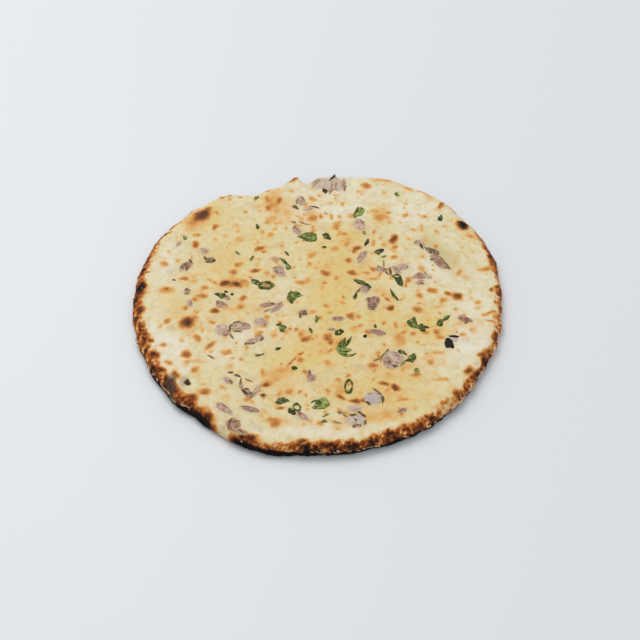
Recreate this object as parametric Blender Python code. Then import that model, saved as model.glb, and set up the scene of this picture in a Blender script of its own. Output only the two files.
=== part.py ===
"""Onion kulcha: a round of leavened bread baked on an oven wall, with chopped red onion,
coriander leaves and green chilli pressed into its top before baking.

The named sizes and places are in millimetres, and the mesh is in metres. +Z is up, +Y is
the bread's back edge and +X its right edge. The bread lies on its flat underside at z = 0.
A place is (x, y) from the bread's middle, and a turn is counted anticlockwise from +X.
"""

import bpy
import numpy as np

MM = 0.001

# The round of dough, seen from above.
HALF_WIDTH = 100.5
HALF_DEPTH = 107.0
# Where the hand-stretched outline leaves that oval: (clock angle, reach, how far out).
OUTLINE_BUMPS = (
    (22.0, 13.0, 4.8),
    (48.0, 14.0, 7.4),
    (68.0, 11.0, 6.4),
    (86.0, 3.5, 0.5),
    (93.5, 2.5, -5.5),
    (97.0, 1.6, 4.0),
    (103.0, 3.5, -4.2),
    (112.0, 6.5, -9.0),
    (124.0, 5.0, 2.0),
    (134.5, 3.0, 1.2),
    (146.0, 24.0, 3.0),
    (167.0, 4.0, 0.9),
    (181.0, 4.0, 0.7),
    (208.0, 14.0, -1.2),
    (226.0, 3.0, 0.6),
    (254.0, 12.0, 2.9),
    (288.0, 22.0, 1.3),
    (333.0, 18.0, -1.1),
)

# The side of the bread: a toasted shoulder above the widest point and a tucked foot below.
THICKNESS = 6.8
RIM_LIFT = 0.5
RIM_LIFT_POWER = 6
RIM_WIDTH = 6.8
GIRTH_HEIGHT = 2.8
TUCK = 3.6
FOOT_SLOPES = (-90, -45)
SHOULDER_SLOPES = (0, 22, 45, 68, 90)

# Uneven dough: (size of one swell, its height) on the top, and crags round the side.
TOP_SWELLS = ((27.0, 0.35), (11.0, 0.18))
CRAGS = ((9.0, 0.55), (4.5, 0.55))
CRAG_SLANT = (2.0, -1.5)
LATTICE = 64
SWELL_SEED = 11
CRAG_SEED = 41

# Blisters that rose in the oven: (x, y, length, width, turn, height).
BLISTERS = (
    (-72.0, -66.5, 19.0, 9.0, -62.0, 2.2),
    (-64.0, -74.0, 11.0, 8.0, -50.0, 1.1),
    (-55.0, -85.0, 12.0, 8.0, -45.0, 0.9),
    (-46.5, -95.5, 12.0, 8.0, -60.0, 0.9),
    (-68.5, 69.5, 17.0, 12.0, 55.0, 1.1),
    (-26.0, 84.0, 24.0, 12.0, 85.0, 0.9),
    (30.5, 96.0, 10.0, 9.0, 90.0, 0.8),
    (43.0, 100.0, 14.0, 9.0, -20.0, 0.9),
    (75.0, 76.0, 11.0, 6.0, 65.0, 0.8),
    (84.5, 57.5, 10.0, 9.0, 0.0, 1.3),
    (77.0, 36.0, 36.0, 13.0, -60.0, 1.4),
    (75.5, -1.5, 14.0, 8.0, -15.0, 0.7),
    (36.0, 67.0, 14.0, 12.0, 80.0, 0.7),
    (43.5, 45.0, 10.0, 7.0, 60.0, 0.7),
    (-48.0, 9.0, 17.0, 10.0, 0.0, 0.9),
    (-70.0, -20.0, 11.0, 10.0, 0.0, 0.9),
)

# Openings in the crust: (x, y, length, width, turn, depth).
TEARS = (
    (68.3, 32.5, 34.0, 3.0, -60.0, 2.4),
    (-67.3, -63.2, 7.0, 2.6, -68.0, 2.6),
)

# Chopped red onion: (x, y, length, width, turn).
ONIONS = (
    (3.0, 97.5, 14.0, 5.5, 78.0),
    (10.0, 97.0, 12.0, 4.5, 84.0),
    (17.0, 97.0, 13.0, 4.5, 96.0),
    (-10.0, 83.0, 9.5, 6.0, 68.0),
    (-3.5, 75.5, 9.0, 5.0, -22.0),
    (-12.0, 56.0, 10.0, 6.0, -55.0),
    (25.5, 59.5, 13.0, 6.0, -78.0),
    (-64.0, 37.0, 8.0, 6.0, -65.0),
    (-61.5, 30.5, 8.5, 4.5, -15.0),
    (-75.0, 25.0, 10.5, 5.5, 65.0),
    (-21.0, 19.0, 14.0, 5.0, -38.0),
    (25.0, 32.0, 11.0, 5.5, 65.0),
    (37.0, 21.0, 8.0, 6.0, -55.0),
    (46.5, 22.5, 10.0, 7.0, 25.0),
    (57.5, 14.0, 9.0, 6.0, 8.0),
    (58.5, 42.0, 8.0, 4.5, -50.0),
    (64.5, 35.5, 10.0, 5.5, -56.0),
    (69.5, 25.0, 14.0, 5.5, -54.0),
    (-52.5, -6.0, 8.5, 5.0, -55.0),
    (-28.0, -7.5, 9.0, 4.0, 18.0),
    (-23.0, -9.5, 10.0, 5.0, 60.0),
    (24.5, 2.0, 7.5, 5.0, 45.0),
    (30.0, -6.0, 10.5, 7.5, -80.0),
    (-42.0, -23.5, 11.0, 7.0, -4.0),
    (-49.0, -27.0, 10.0, 7.5, -60.0),
    (-31.0, -20.0, 7.5, 6.5, 10.0),
    (-34.0, -34.5, 11.0, 5.0, 22.0),
    (32.0, -30.0, 8.5, 4.0, -10.0),
    (37.5, -48.5, 13.5, 10.0, -25.0),
    (-4.0, -60.0, 8.5, 6.0, -62.0),
    (-46.0, -62.5, 6.5, 4.5, -45.0),
    (-38.5, -64.5, 9.0, 4.0, -72.0),
    (-36.0, -71.0, 8.5, 5.0, -60.0),
    (-47.0, -82.0, 12.0, 4.0, -48.0),
    (-34.5, -82.0, 9.5, 4.0, -16.0),
    (-8.0, -87.0, 9.5, 4.0, -42.0),
    (-42.0, -91.0, 9.0, 5.0, 72.0),
    (26.5, -75.0, 10.5, 8.0, -58.0),
    (16.5, -80.5, 8.5, 5.0, 4.0),
    (18.5, -90.0, 10.5, 8.0, -28.0),
)
ONION_SIDES = 8
ONION_STANDS_OUT = 0.9
ONION_CROWN = 0.35
ONION_UNEVENNESS = 0.13

# Coriander leaves and strips of chilli: (x, y, length, width, turn).
HERBS = (
    (-5.0, 49.5, 12.0, 9.0, -5.0),
    (5.5, 49.0, 6.5, 4.5, -60.0),
    (24.5, 71.0, 9.5, 6.0, 68.0),
    (35.5, 35.5, 6.5, 5.0, 25.0),
    (-18.0, 26.0, 12.5, 3.2, -60.0),
    (-52.5, 0.5, 8.5, 5.0, -6.0),
    (-14.0, -1.5, 8.5, 6.0, 35.0),
    (24.5, 8.5, 11.0, 4.2, -36.0),
    (45.0, 11.0, 10.0, 5.0, -66.0),
    (-20.0, -25.5, 8.5, 4.0, -58.0),
    (13.0, -40.0, 14.0, 7.0, 68.0),
    (53.0, -23.5, 12.5, 7.0, -50.0),
    (67.0, -22.0, 12.0, 5.0, 52.0),
    (47.0, -47.5, 9.5, 6.0, -45.0),
    (-18.0, -76.5, 8.5, 5.0, -8.0),
    (-13.0, -82.5, 7.5, 6.0, 30.0),
    (0.5, -78.5, 9.5, 8.0, 0.0),
)
HERB_SIDES = 8
HERB_STANDS_OUT = 0.6
HERB_CROWN = 0.2
HERB_UNEVENNESS = 0.07
HERB_LOBES = 0.16

# A chopped piece starts this far under the top, and rounds over between its edge and its face.
SUNK_BELOW_TOP = 2.2
EDGE_HEIGHT_SHARE = 0.5
FACE_SHARE = 0.62
PIECE_SEED = 7

# Slices across a chilli: (x, y, length, width, turn).
CHILLI_RINGS = (
    (-29.0, 8.5, 9.0, 7.0, -12.0),
    (15.0, -67.0, 8.5, 4.6, 80.0),
    (69.0, -37.0, 9.5, 5.6, 62.0),
)
RING_SIDES = 12
RING_WALL = 1.3
RING_STANDS_OUT = 1.0

# The onion curl that sticks out past the back edge: (x, y, length, width, turn), its span in z.
CURL = (9.5, 104.0, 12.5, 3.0, 58.0)
CURL_SPAN = (3.0, 8.0)
PRISM_SIDES = 8

# Sectors of the rings at the side, which halve where the top has shrunk to each share.
SIDE_SECTORS = 192
RING_PITCH = 4.6
HALVE_BELOW = (0.95, 0.5, 0.22)
MIDDLE_GAP = 3.0

SMOOTH_ANGLE = np.radians(50.0)
CRUST_COLOUR = (0.78, 0.62, 0.36, 1.0)
CRUST_ROUGHNESS = 0.7


def soft_noise(x, y, cell, seed):
    """Smooth swells between -1 and 1, one to a cell, that repeat after LATTICE cells."""
    heights = np.random.default_rng(seed).uniform(-1.0, 1.0, (LATTICE, LATTICE))
    column = np.floor(x / cell).astype(int)
    row = np.floor(y / cell).astype(int)
    across = x / cell - column
    up = y / cell - row
    across = across**2 * (3.0 - 2.0 * across)
    up = up**2 * (3.0 - 2.0 * up)
    left = column % LATTICE
    right = (column + 1) % LATTICE
    near = row % LATTICE
    far = (row + 1) % LATTICE
    front = heights[near, left] * (1.0 - across) + heights[near, right] * across
    back = heights[far, left] * (1.0 - across) + heights[far, right] * across
    return front * (1.0 - up) + back * up


def along_and_across(x, y, place):
    """How far (x, y) lies along and across a piece, in its own half-lengths."""
    middle_x, middle_y, length, width, turn = place[:5]
    cos = np.cos(np.radians(turn))
    sin = np.sin(np.radians(turn))
    along = ((x - middle_x) * cos + (y - middle_y) * sin) / (length / 2)
    across = ((y - middle_y) * cos - (x - middle_x) * sin) / (width / 2)
    return along, across


def set_down(shape, place):
    """A shape drawn in a piece's own half-lengths, moved to where the piece lies."""
    middle_x, middle_y, length, width, turn = place[:5]
    cos = np.cos(np.radians(turn))
    sin = np.sin(np.radians(turn))
    along = shape[:, 0] * length / 2
    across = shape[:, 1] * width / 2
    x = middle_x + along * cos - across * sin
    y = middle_y + along * sin + across * cos
    return np.column_stack([x, y])


def outline(angle):
    """How far the bread's edge is from its middle, at an angle in radians."""
    wide = HALF_WIDTH * np.sin(angle)
    deep = HALF_DEPTH * np.cos(angle)
    edge = HALF_WIDTH * HALF_DEPTH / np.hypot(wide, deep)
    for clock, reach, out in OUTLINE_BUMPS:
        gap = (np.degrees(angle) - clock + 180.0) % 360.0 - 180.0
        edge = edge + out * np.exp(-((gap / reach) ** 2))
    return edge


def plateau(x, y):
    """Height of the top, as if it ran on past the shoulder."""
    share = np.hypot(x, y) / outline(np.arctan2(y, x))
    height = THICKNESS + RIM_LIFT * np.clip(share, 0.0, 1.0) ** RIM_LIFT_POWER
    for number, (cell, swell) in enumerate(TOP_SWELLS):
        height = height + swell * soft_noise(x, y, cell, SWELL_SEED + number)
    for blister in BLISTERS:
        along, across = along_and_across(x, y, blister)
        height = height + blister[5] * np.exp(-(along**2) - across**2)
    return height


def top_height(x, y):
    """Height of the bread at a place inside its outline, shoulder included."""
    inward = outline(np.arctan2(y, x)) - np.hypot(x, y)
    fall = np.clip(1.0 - inward / RIM_WIDTH, 0.0, 1.0)
    return GIRTH_HEIGHT + (plateau(x, y) - GIRTH_HEIGHT) * np.sqrt(1.0 - fall**2)


def crags(x, y, z):
    """How far the toasted side stands out at a place."""
    out = 0.0
    for number, (cell, depth) in enumerate(CRAGS):
        slant_x = x + CRAG_SLANT[0] * z
        slant_y = y + CRAG_SLANT[1] * z
        out = out + depth * soft_noise(slant_x, slant_y, cell, CRAG_SEED + number)
    return out


def ring_angles(sectors):
    return np.arange(sectors) * 2.0 * np.pi / sectors


def circle(sectors):
    angle = ring_angles(sectors)
    return np.column_stack([np.cos(angle), np.sin(angle)])


def side_ring(slope):
    """A ring round the side, at a slope from -90 (foot) through 0 (widest) to 90 (top)."""
    angle = ring_angles(SIDE_SECTORS)
    cos = np.cos(np.radians(slope))
    sin = np.sin(np.radians(slope))
    inset = RIM_WIDTH if slope > 0 else TUCK
    place = circle(SIDE_SECTORS) * (outline(angle) - inset * (1.0 - cos))[:, None]
    if slope > 0:
        height = GIRTH_HEIGHT + (plateau(place[:, 0], place[:, 1]) - GIRTH_HEIGHT) * sin
    else:
        height = np.full(SIDE_SECTORS, GIRTH_HEIGHT * (1.0 + sin))
    out = crags(place[:, 0], place[:, 1], height) * cos
    return np.column_stack([place + circle(SIDE_SECTORS) * out[:, None], height])


def top_rings():
    """Rings of the top from the shoulder inwards, with fewer sectors as they shrink."""
    rings = []
    shoulder = HALF_WIDTH - RIM_WIDTH
    for radius in np.arange(shoulder - RING_PITCH, MIDDLE_GAP, -RING_PITCH):
        share = radius / shoulder
        halvings = sum(share < limit for limit in HALVE_BELOW)
        sectors = SIDE_SECTORS // 2**halvings
        reach = (outline(ring_angles(sectors)) - RIM_WIDTH) * share
        place = circle(sectors) * reach[:, None]
        rings.append(np.column_stack([place, plateau(place[:, 0], place[:, 1])]))
    return rings


def joined(outer_start, outer_count, inner_start, inner_count):
    """Faces between a ring and the next one in, which has as many points or half as many."""
    faces = []
    for place in range(outer_count):
        here = outer_start + place
        there = outer_start + (place + 1) % outer_count
        if inner_count == outer_count:
            ahead = inner_start + (place + 1) % inner_count
            faces.append((here, there, ahead, inner_start + place))
            continue
        behind = inner_start + place // 2
        ahead = inner_start + (place // 2 + 1) % inner_count
        if place % 2 == 0:
            faces.append((here, there, behind))
        else:
            faces.append((here, ahead, behind))
            faces.append((here, there, ahead))
    return faces


def bread_round():
    """The bare bread: a flat underside, and rings from its foot up and in to the middle."""
    rings = [side_ring(slope) for slope in FOOT_SLOPES + SHOULDER_SLOPES] + top_rings()
    centre = np.zeros(1)
    middle = np.column_stack([centre, centre, plateau(centre, centre)])
    points = np.concatenate(rings + [middle])
    counts = [len(ring) for ring in rings]
    starts = np.cumsum([0] + counts)
    faces = [tuple(reversed(range(SIDE_SECTORS)))]
    for ring in range(len(rings) - 1):
        faces += joined(starts[ring], counts[ring], starts[ring + 1], counts[ring + 1])
    for place in range(counts[-1]):
        ahead = (place + 1) % counts[-1]
        faces.append((starts[-2] + place, starts[-2] + ahead, starts[-1]))
    return points, faces


def walls(loops, sides):
    """Faces between each loop of points and the next one."""
    faces = []
    for loop in range(loops - 1):
        start = loop * sides
        for side in range(sides):
            ahead = (side + 1) % sides
            faces.append((start + side, start + ahead, start + sides + ahead, start + sides + side))
    return faces


def chopped_piece(place, reach, stands_out, crown):
    """A piece sunk in the top: its outline low, its outline again, and a crowned face."""
    sides = len(reach)
    edge = set_down(circle(sides) * reach[:, None], place)
    face = set_down(circle(sides) * reach[:, None] * FACE_SHARE, place)
    middle = np.array([place[:2]])
    edge_base = top_height(edge[:, 0], edge[:, 1])
    face_base = top_height(face[:, 0], face[:, 1])
    middle_base = top_height(middle[:, 0], middle[:, 1])
    low = np.full(sides, edge_base.min() - SUNK_BELOW_TOP)
    loops = [
        np.column_stack([edge, low]),
        np.column_stack([edge, edge_base + stands_out * EDGE_HEIGHT_SHARE]),
        np.column_stack([face, face_base + stands_out]),
        np.column_stack([middle, middle_base + stands_out + crown]),
    ]
    faces = [tuple(reversed(range(sides)))] + walls(3, sides)
    for side in range(sides):
        faces.append((2 * sides + side, 2 * sides + (side + 1) % sides, 3 * sides))
    return np.concatenate(loops), faces


def onion_piece(place, draws):
    reach = 1.0 + draws.uniform(-ONION_UNEVENNESS, ONION_UNEVENNESS, ONION_SIDES)
    return chopped_piece(place, reach, ONION_STANDS_OUT, ONION_CROWN)


def herb_piece(place, draws):
    """A leaf or strip, whose outline goes in and out in lobes."""
    lobes = np.where(np.arange(HERB_SIDES) % 2, -HERB_LOBES, HERB_LOBES)
    reach = 1.0 + lobes + draws.uniform(-HERB_UNEVENNESS, HERB_UNEVENNESS, HERB_SIDES)
    return chopped_piece(place, reach, HERB_STANDS_OUT, HERB_CROWN)


def chilli_ring(place):
    """A cut ring of chilli: an oval band round a hole that shows the bread."""
    hole_share = 1.0 - 2.0 * RING_WALL / np.array([place[2], place[3]])
    outer = set_down(circle(RING_SIDES), place)
    inner = set_down(circle(RING_SIDES) * hole_share, place)
    base = top_height(outer[:, 0], outer[:, 1])
    low = np.full(RING_SIDES, base.min() - SUNK_BELOW_TOP)
    high = base + RING_STANDS_OUT
    loops = [
        np.column_stack([outer, low]),
        np.column_stack([outer, high]),
        np.column_stack([inner, high]),
        np.column_stack([inner, low]),
    ]
    faces = walls(4, RING_SIDES)
    for side in range(RING_SIDES):
        ahead = (side + 1) % RING_SIDES
        faces.append((3 * RING_SIDES + side, 3 * RING_SIDES + ahead, ahead, side))
    return np.concatenate(loops), faces


def prism(place, span):
    """An upright oval prism: the onion curl, and what opens a tear."""
    rim = set_down(circle(PRISM_SIDES), place)
    loops = [np.column_stack([rim, np.full(PRISM_SIDES, z)]) for z in span]
    faces = [tuple(reversed(range(PRISM_SIDES))), tuple(range(PRISM_SIDES, 2 * PRISM_SIDES))]
    return np.concatenate(loops), faces + walls(2, PRISM_SIDES)


def add_object(name, shape, collection):
    points, faces = shape
    mesh = bpy.data.meshes.new(name)
    mesh.from_pydata((points * MM).tolist(), [], [tuple(map(int, face)) for face in faces])
    mesh.update()
    made = bpy.data.objects.new(name, mesh)
    collection.objects.link(made)
    return made


def add_collection(name):
    made = bpy.data.collections.new(name)
    bpy.context.scene.collection.children.link(made)
    return made


def apply_boolean(target, operation, collection):
    """Join or cut the target by all the collection's objects, and remove those objects."""
    modifier = target.modifiers.new(operation.title(), "BOOLEAN")
    modifier.operation = operation
    modifier.operand_type = "COLLECTION"
    modifier.collection = collection
    modifier.solver = "EXACT"
    bpy.context.view_layer.update()
    evaluated = target.evaluated_get(bpy.context.evaluated_depsgraph_get())
    mesh = bpy.data.meshes.new_from_object(evaluated)
    target.modifiers.remove(modifier)
    target.data = mesh
    for operand in list(collection.objects):
        bpy.data.objects.remove(operand)
    bpy.data.collections.remove(collection)


def add_toppings(bread):
    draws = np.random.default_rng(PIECE_SEED)
    toppings = add_collection("toppings")
    for number, place in enumerate(ONIONS):
        add_object(f"onion_{number}", onion_piece(place, draws), toppings)
    for number, place in enumerate(HERBS):
        add_object(f"herb_{number}", herb_piece(place, draws), toppings)
    for number, place in enumerate(CHILLI_RINGS):
        add_object(f"chilli_{number}", chilli_ring(place), toppings)
    add_object("curl", prism(CURL, CURL_SPAN), toppings)
    apply_boolean(bread, "UNION", toppings)


def open_tears(bread):
    cutters = add_collection("cutters")
    for number, tear in enumerate(TEARS):
        bottom = float(top_height(tear[0], tear[1])) - tear[5]
        add_object(f"tear_{number}", prism(tear, (bottom, 2.0 * THICKNESS)), cutters)
    apply_boolean(bread, "DIFFERENCE", cutters)


def crust_material():
    material = bpy.data.materials.new("crust")
    material.use_nodes = True
    shader = material.node_tree.nodes["Principled BSDF"]
    shader.inputs["Base Color"].default_value = CRUST_COLOUR
    shader.inputs["Roughness"].default_value = CRUST_ROUGHNESS
    shader.inputs["Metallic"].default_value = 0.0
    return material


def build_kulcha():
    for old in list(bpy.data.objects):
        bpy.data.objects.remove(old)
    kulcha = add_object("kulcha", bread_round(), bpy.context.scene.collection)
    add_toppings(kulcha)
    open_tears(kulcha)
    kulcha.data.materials.clear()
    kulcha.data.materials.append(crust_material())
    kulcha.data.shade_smooth()
    kulcha.data.set_sharp_from_angle(angle=SMOOTH_ANGLE)


build_kulcha()
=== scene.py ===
# %% [markdown]
# # An onion kulcha, finished in Blender
#
# A kulcha is a round of soft leavened dough that bakes on the wall of a very hot oven. This one
# has chopped red onion, coriander and green chilli pressed into its top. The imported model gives
# its true form as one solid. This lesson makes the same form again at a much finer pitch, with
# the crust's bubbles and blisters, and then gives every surface its baked colours.
#
# Places and sizes are in millimetres until a mesh is made, because food is easier to think of
# that way. A place is (x, y) from the bread's middle, +X to the right edge and +Y to the back
# edge, and a turn is counted anticlockwise from +X.

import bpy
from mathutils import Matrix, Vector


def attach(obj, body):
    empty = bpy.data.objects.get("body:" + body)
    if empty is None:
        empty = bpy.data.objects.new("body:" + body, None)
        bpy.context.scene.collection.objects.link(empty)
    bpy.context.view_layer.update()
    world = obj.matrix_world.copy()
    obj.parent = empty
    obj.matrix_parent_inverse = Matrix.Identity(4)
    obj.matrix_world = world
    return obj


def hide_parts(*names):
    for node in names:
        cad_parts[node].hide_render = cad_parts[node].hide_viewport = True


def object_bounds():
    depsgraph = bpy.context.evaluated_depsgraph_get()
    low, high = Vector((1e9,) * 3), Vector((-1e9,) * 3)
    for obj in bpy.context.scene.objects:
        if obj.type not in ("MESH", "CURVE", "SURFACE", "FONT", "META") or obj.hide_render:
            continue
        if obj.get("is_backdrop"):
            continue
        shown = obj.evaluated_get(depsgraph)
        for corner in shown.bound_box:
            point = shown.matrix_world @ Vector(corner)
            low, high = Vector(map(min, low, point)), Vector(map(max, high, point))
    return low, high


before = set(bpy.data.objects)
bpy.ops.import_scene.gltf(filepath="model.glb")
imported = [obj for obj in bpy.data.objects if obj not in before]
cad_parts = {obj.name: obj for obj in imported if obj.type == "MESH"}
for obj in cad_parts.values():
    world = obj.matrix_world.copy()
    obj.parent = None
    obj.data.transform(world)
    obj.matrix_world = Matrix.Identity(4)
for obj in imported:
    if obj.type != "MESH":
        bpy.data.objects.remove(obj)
cad_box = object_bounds()
print("packed bread, in mm:", [round((high - low) * 1000, 1) for low, high in zip(*cad_box)])

# %% [markdown]
# ## Tools for the whole lesson
#
# numpy works on whole rings of points at once, which keeps a mesh of a hundred thousand points
# quick. Blender itself wants metres, so one constant changes the units.

import bpy
import numpy as np
from mathutils import Quaternion, Vector

MM = 0.001
scene = bpy.context.scene
scene.view_settings.view_transform = "Standard"
print("Blender", bpy.app.version_string)

# %% [markdown]
# ## The camera
#
# The bread is seen from its front, half way between level and straight down. A camera could be
# turned by hand until the picture fits, but then nothing says why it stands where it does. So it
# is placed by a distance and a height angle from one aim. The lens is a little long, so that the
# round keeps nearly the same width at its back, and the camera is tipped by less than a degree,
# as one held in the hand is.

# %% Camera
AIM = (1.0, -20.0, 7.0)
CAMERA_DISTANCE = 570.9
CAMERA_ELEVATION = 44.77
CAMERA_ROLL = -0.76
LENS = 60.0
SENSOR = 36.0

camera = bpy.data.objects.new("camera", bpy.data.cameras.new("camera"))
scene.collection.objects.link(camera)
camera.data.lens = LENS
camera.data.sensor_width = SENSOR
elevation = np.radians(CAMERA_ELEVATION)
away = Vector((0.0, -np.cos(elevation), np.sin(elevation)))
camera.location = (Vector(AIM) + away * CAMERA_DISTANCE) * MM
camera.rotation_mode = "QUATERNION"
level = (-away).to_track_quat("-Z", "Y")
camera.rotation_quaternion = level @ Quaternion((0.0, 0.0, 1.0), np.radians(CAMERA_ROLL))
scene.camera = camera
print("camera stands", round(camera.location.length, 3), "m from the bread's middle")

# %% [markdown]
# ## Light
#
# Food looks soft when the light is wide. A sun lamp would throw hard shadows, and one lamp alone
# would leave the front side black. So a pale surrounding fills every shadow, one large lamp
# behind and above draws the relief of the crust, and a weaker one keeps the front from going
# flat. A lamp's power is worked out from how bright a white card on the table has to be.


# %% Lamps and surroundings
def add_lamp(name, place, size, card):
    """A square lamp aimed at the bread that lights a white card on the table to this share."""
    lamp = bpy.data.lights.new(name, "AREA")
    lamp.size = size
    distance = Vector(place).length
    facing = Vector(place).normalized().z
    lamp.energy = card * np.pi**2 * distance**2 / facing
    holder = bpy.data.objects.new(name, lamp)
    holder.location = place
    holder.rotation_mode = "QUATERNION"
    holder.rotation_quaternion = (-Vector(place)).to_track_quat("-Z", "Y")
    scene.collection.objects.link(holder)
    return holder


LAMPS = (  # name, place and side in metres, how brightly it lights a white card
    ("back_lamp", (-0.7, 0.9, 1.5), 1.4, 0.35),
    ("front_lamp", (0.5, -0.9, 1.4), 1.6, 0.08),
)
for lamp_row in LAMPS:
    add_lamp(*lamp_row)

SURROUNDINGS = 0.61  # strength of the light that comes from all round
BACKDROP = 0.74  # strength that the camera sees behind the table
SKY_COLOUR = (0.97, 0.99, 1.0, 1.0)

world = bpy.data.worlds.new("pale_room")
world.use_nodes = True
scene.world = world
sky = world.node_tree.nodes["Background"]
sky.inputs["Color"].default_value = SKY_COLOUR
path = world.node_tree.nodes.new("ShaderNodeLightPath")
shown = world.node_tree.nodes.new("ShaderNodeMapRange")
shown.inputs["To Min"].default_value = SURROUNDINGS
shown.inputs["To Max"].default_value = BACKDROP
world.node_tree.links.new(path.outputs["Is Camera Ray"], shown.inputs["Value"])
world.node_tree.links.new(shown.outputs["Result"], sky.inputs["Strength"])

# %% [markdown]
# ## Shader maths as Python
#
# A baked surface is a sum of small causes: how toasted it is, how buttery, how floury. The sum
# could be wired by hand, one node at a time, but nobody can read fifty lines of links. It reads
# best as a sum in the code as well. So a socket is wrapped in a small class whose operators add
# the Math nodes, and one method adds any other kind of node.


# %% A socket that takes part in expressions
class Amount:
    """A socket of a finish, which adds Math nodes when it is used in an expression."""

    def __init__(self, finish, socket):
        self.finish = finish
        self.socket = socket

    def maths(self, operation, *values, clamp=False):
        settings = {"operation": operation, "use_clamp": clamp}
        return self.finish.node("ShaderNodeMath", settings, dict(enumerate(values)))

    def __add__(self, other):
        return self.maths("ADD", self, other)

    def __sub__(self, other):
        return self.maths("SUBTRACT", self, other)

    def __rsub__(self, other):
        return self.maths("SUBTRACT", other, self)

    def __mul__(self, other):
        return self.maths("MULTIPLY", self, other)

    __radd__ = __add__
    __rmul__ = __mul__

    def clamped(self):
        return self.maths("ADD", self, 0.0, clamp=True)

    def swing(self, width):
        """Noise from 0 to 1 made to swing by half a width to both sides of nothing."""
        return (self - 0.5) * width

    def between(self, low, high):
        """0 up to low, 1 from high on, and a smooth rise from one to the other."""
        settings = {"interpolation_type": "SMOOTHSTEP"}
        values = {"Value": self, "From Min": low, "From Max": high}
        return self.finish.node("ShaderNodeMapRange", settings, values)


# %% A finish, which is a material made by calls
class Finish:
    """A material with one Principled shader; constants are set on the shader's own sockets."""

    def __init__(self, name, constants):
        self.material = bpy.data.materials.new(name)
        self.material.use_nodes = True
        self.nodes = self.material.node_tree.nodes
        self.shader = self.nodes["Principled BSDF"]
        for socket, value in constants.items():
            self.shader.inputs[socket].default_value = value

    def feed(self, socket, value):
        if isinstance(value, Amount):
            self.material.node_tree.links.new(value.socket, socket)
        else:
            socket.default_value = value

    def node(self, kind, settings, values, output=0):
        """Any node: its settings first, then the values or links of its sockets."""
        made = self.nodes.new(kind)
        for name, setting in settings.items():
            if name == "stops":
                self.set_stops(made.color_ramp, setting)
            else:
                setattr(made, name, setting)
        for socket, value in values.items():
            self.feed(made.inputs[socket], value)
        return Amount(self, made.outputs[output])

    def set_stops(self, ramp, stops):
        while len(ramp.elements) < len(stops):
            ramp.elements.new(1.0)
        for element, (position, stop_colour) in zip(ramp.elements, stops):
            element.position = position
            element.color = stop_colour

    def painted(self, name):
        """A number that the mesh carries at each of its points."""
        return self.node("ShaderNodeAttribute", {"attribute_name": name}, {}, "Fac")

    def place(self):
        """Where a point is on the piece, in millimetres."""
        here = self.node("ShaderNodeTexCoord", {}, {}, "Object")
        return self.node("ShaderNodeVectorMath", {"operation": "SCALE"}, {0: here, "Scale": 1 / MM})

    def grain(self, along=1.0):
        """A lobe's own millimetres; a number below 1 draws a pattern out along the lobe."""
        own = self.node("ShaderNodeAttribute", {"attribute_name": "grain"}, {}, "Vector")
        stretch = (along, 1.0, 1.0)
        return self.node("ShaderNodeVectorMath", {"operation": "MULTIPLY"}, {0: own, 1: stretch})

    def noise(self, where, cell, detail=2.0, roughness=0.5):
        """Cloudy noise from 0 to 1, with one cloud to a cell of so many millimetres."""
        values = {"Vector": where, "Scale": 1.0 / cell, "Detail": detail, "Roughness": roughness}
        return self.node("ShaderNodeTexNoise", {}, values, "Fac")

    def ramp(self, share, stops):
        """The colour at a share of the way along a row of stops."""
        return self.node("ShaderNodeValToRGB", {"stops": stops}, {"Fac": share})

    def mix(self, share, first, second, blend="MIX"):
        """The first colour with a share of the second."""
        settings = {"data_type": "RGBA", "blend_type": blend}
        return self.node("ShaderNodeMix", settings, {0: share, 6: first, 7: second}, 2)

    def coat(self, base, top, mask, rise, share=1.0, blend="MIX"):
        """A base colour with a coat on it where the mask has risen, at most to a share."""
        return self.mix(mask.between(*rise) * share, base, top, blend)

    def bump(self, height, depth, strength=1.0):
        values = {"Height": height, "Distance": depth * MM, "Strength": strength}
        return self.node("ShaderNodeBump", {}, values, "Normal")

    def wear(self, **sockets):
        """Feed the shader's sockets, whose names are written with _ for a space."""
        for name, value in sockets.items():
            self.feed(self.shader.inputs[name.replace("_", " ")], value)
        return self.material


def colour(red, green, blue):
    """A linear colour, from the 0 to 255 levels that a screen shows."""
    level = np.array([red, green, blue]) / 255.0
    linear = np.where(level <= 0.04045, level / 12.92, ((level + 0.055) / 1.055) ** 2.4)
    return (*linear.tolist(), 1.0)


print("a mid grey in linear light:", round(colour(128, 128, 128)[0], 3))

# %% [markdown]
# ## The table
#
# The bread lies on a plain pale surface. A cloth or a board could lie there too, but it would
# draw the eye away from the food. This is only the stage, so it stays as simple as it can be:
# one wide sheet at the height of the underside.

# %% Floor
FLOOR_REACH = 4.0
floor_mesh = bpy.data.meshes.new("floor")
corners = [(-FLOOR_REACH, -FLOOR_REACH), (FLOOR_REACH, -FLOOR_REACH),
           (FLOOR_REACH, FLOOR_REACH), (-FLOOR_REACH, FLOOR_REACH)]
floor_mesh.from_pydata([(x, y, 0.0) for x, y in corners], [], [(0, 1, 2, 3)])
floor = bpy.data.objects.new("floor", floor_mesh)
scene.collection.objects.link(floor)
table_finish = Finish("pale_table", {"Base Color": colour(227, 230, 233), "Roughness": 0.45})
floor_mesh.materials.append(table_finish.material)
floor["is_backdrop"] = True
print("floor reaches", FLOOR_REACH, "m each way")

# %% [markdown]
# ## The form of the bread
#
# Dough that is stretched by hand is never a circle. It is an oval that is pulled out at some
# places and drawn in at others, with a round shoulder, a tucked foot and soft swells. It could be
# sculpted, but then nothing that lies on it could ask how high it is. So the form is a few
# functions of named sizes, the same that the solid was built from. Only the settling is new here:
# after the dough was laid, the oven moved its edge by another millimetre and a half at most.

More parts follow.
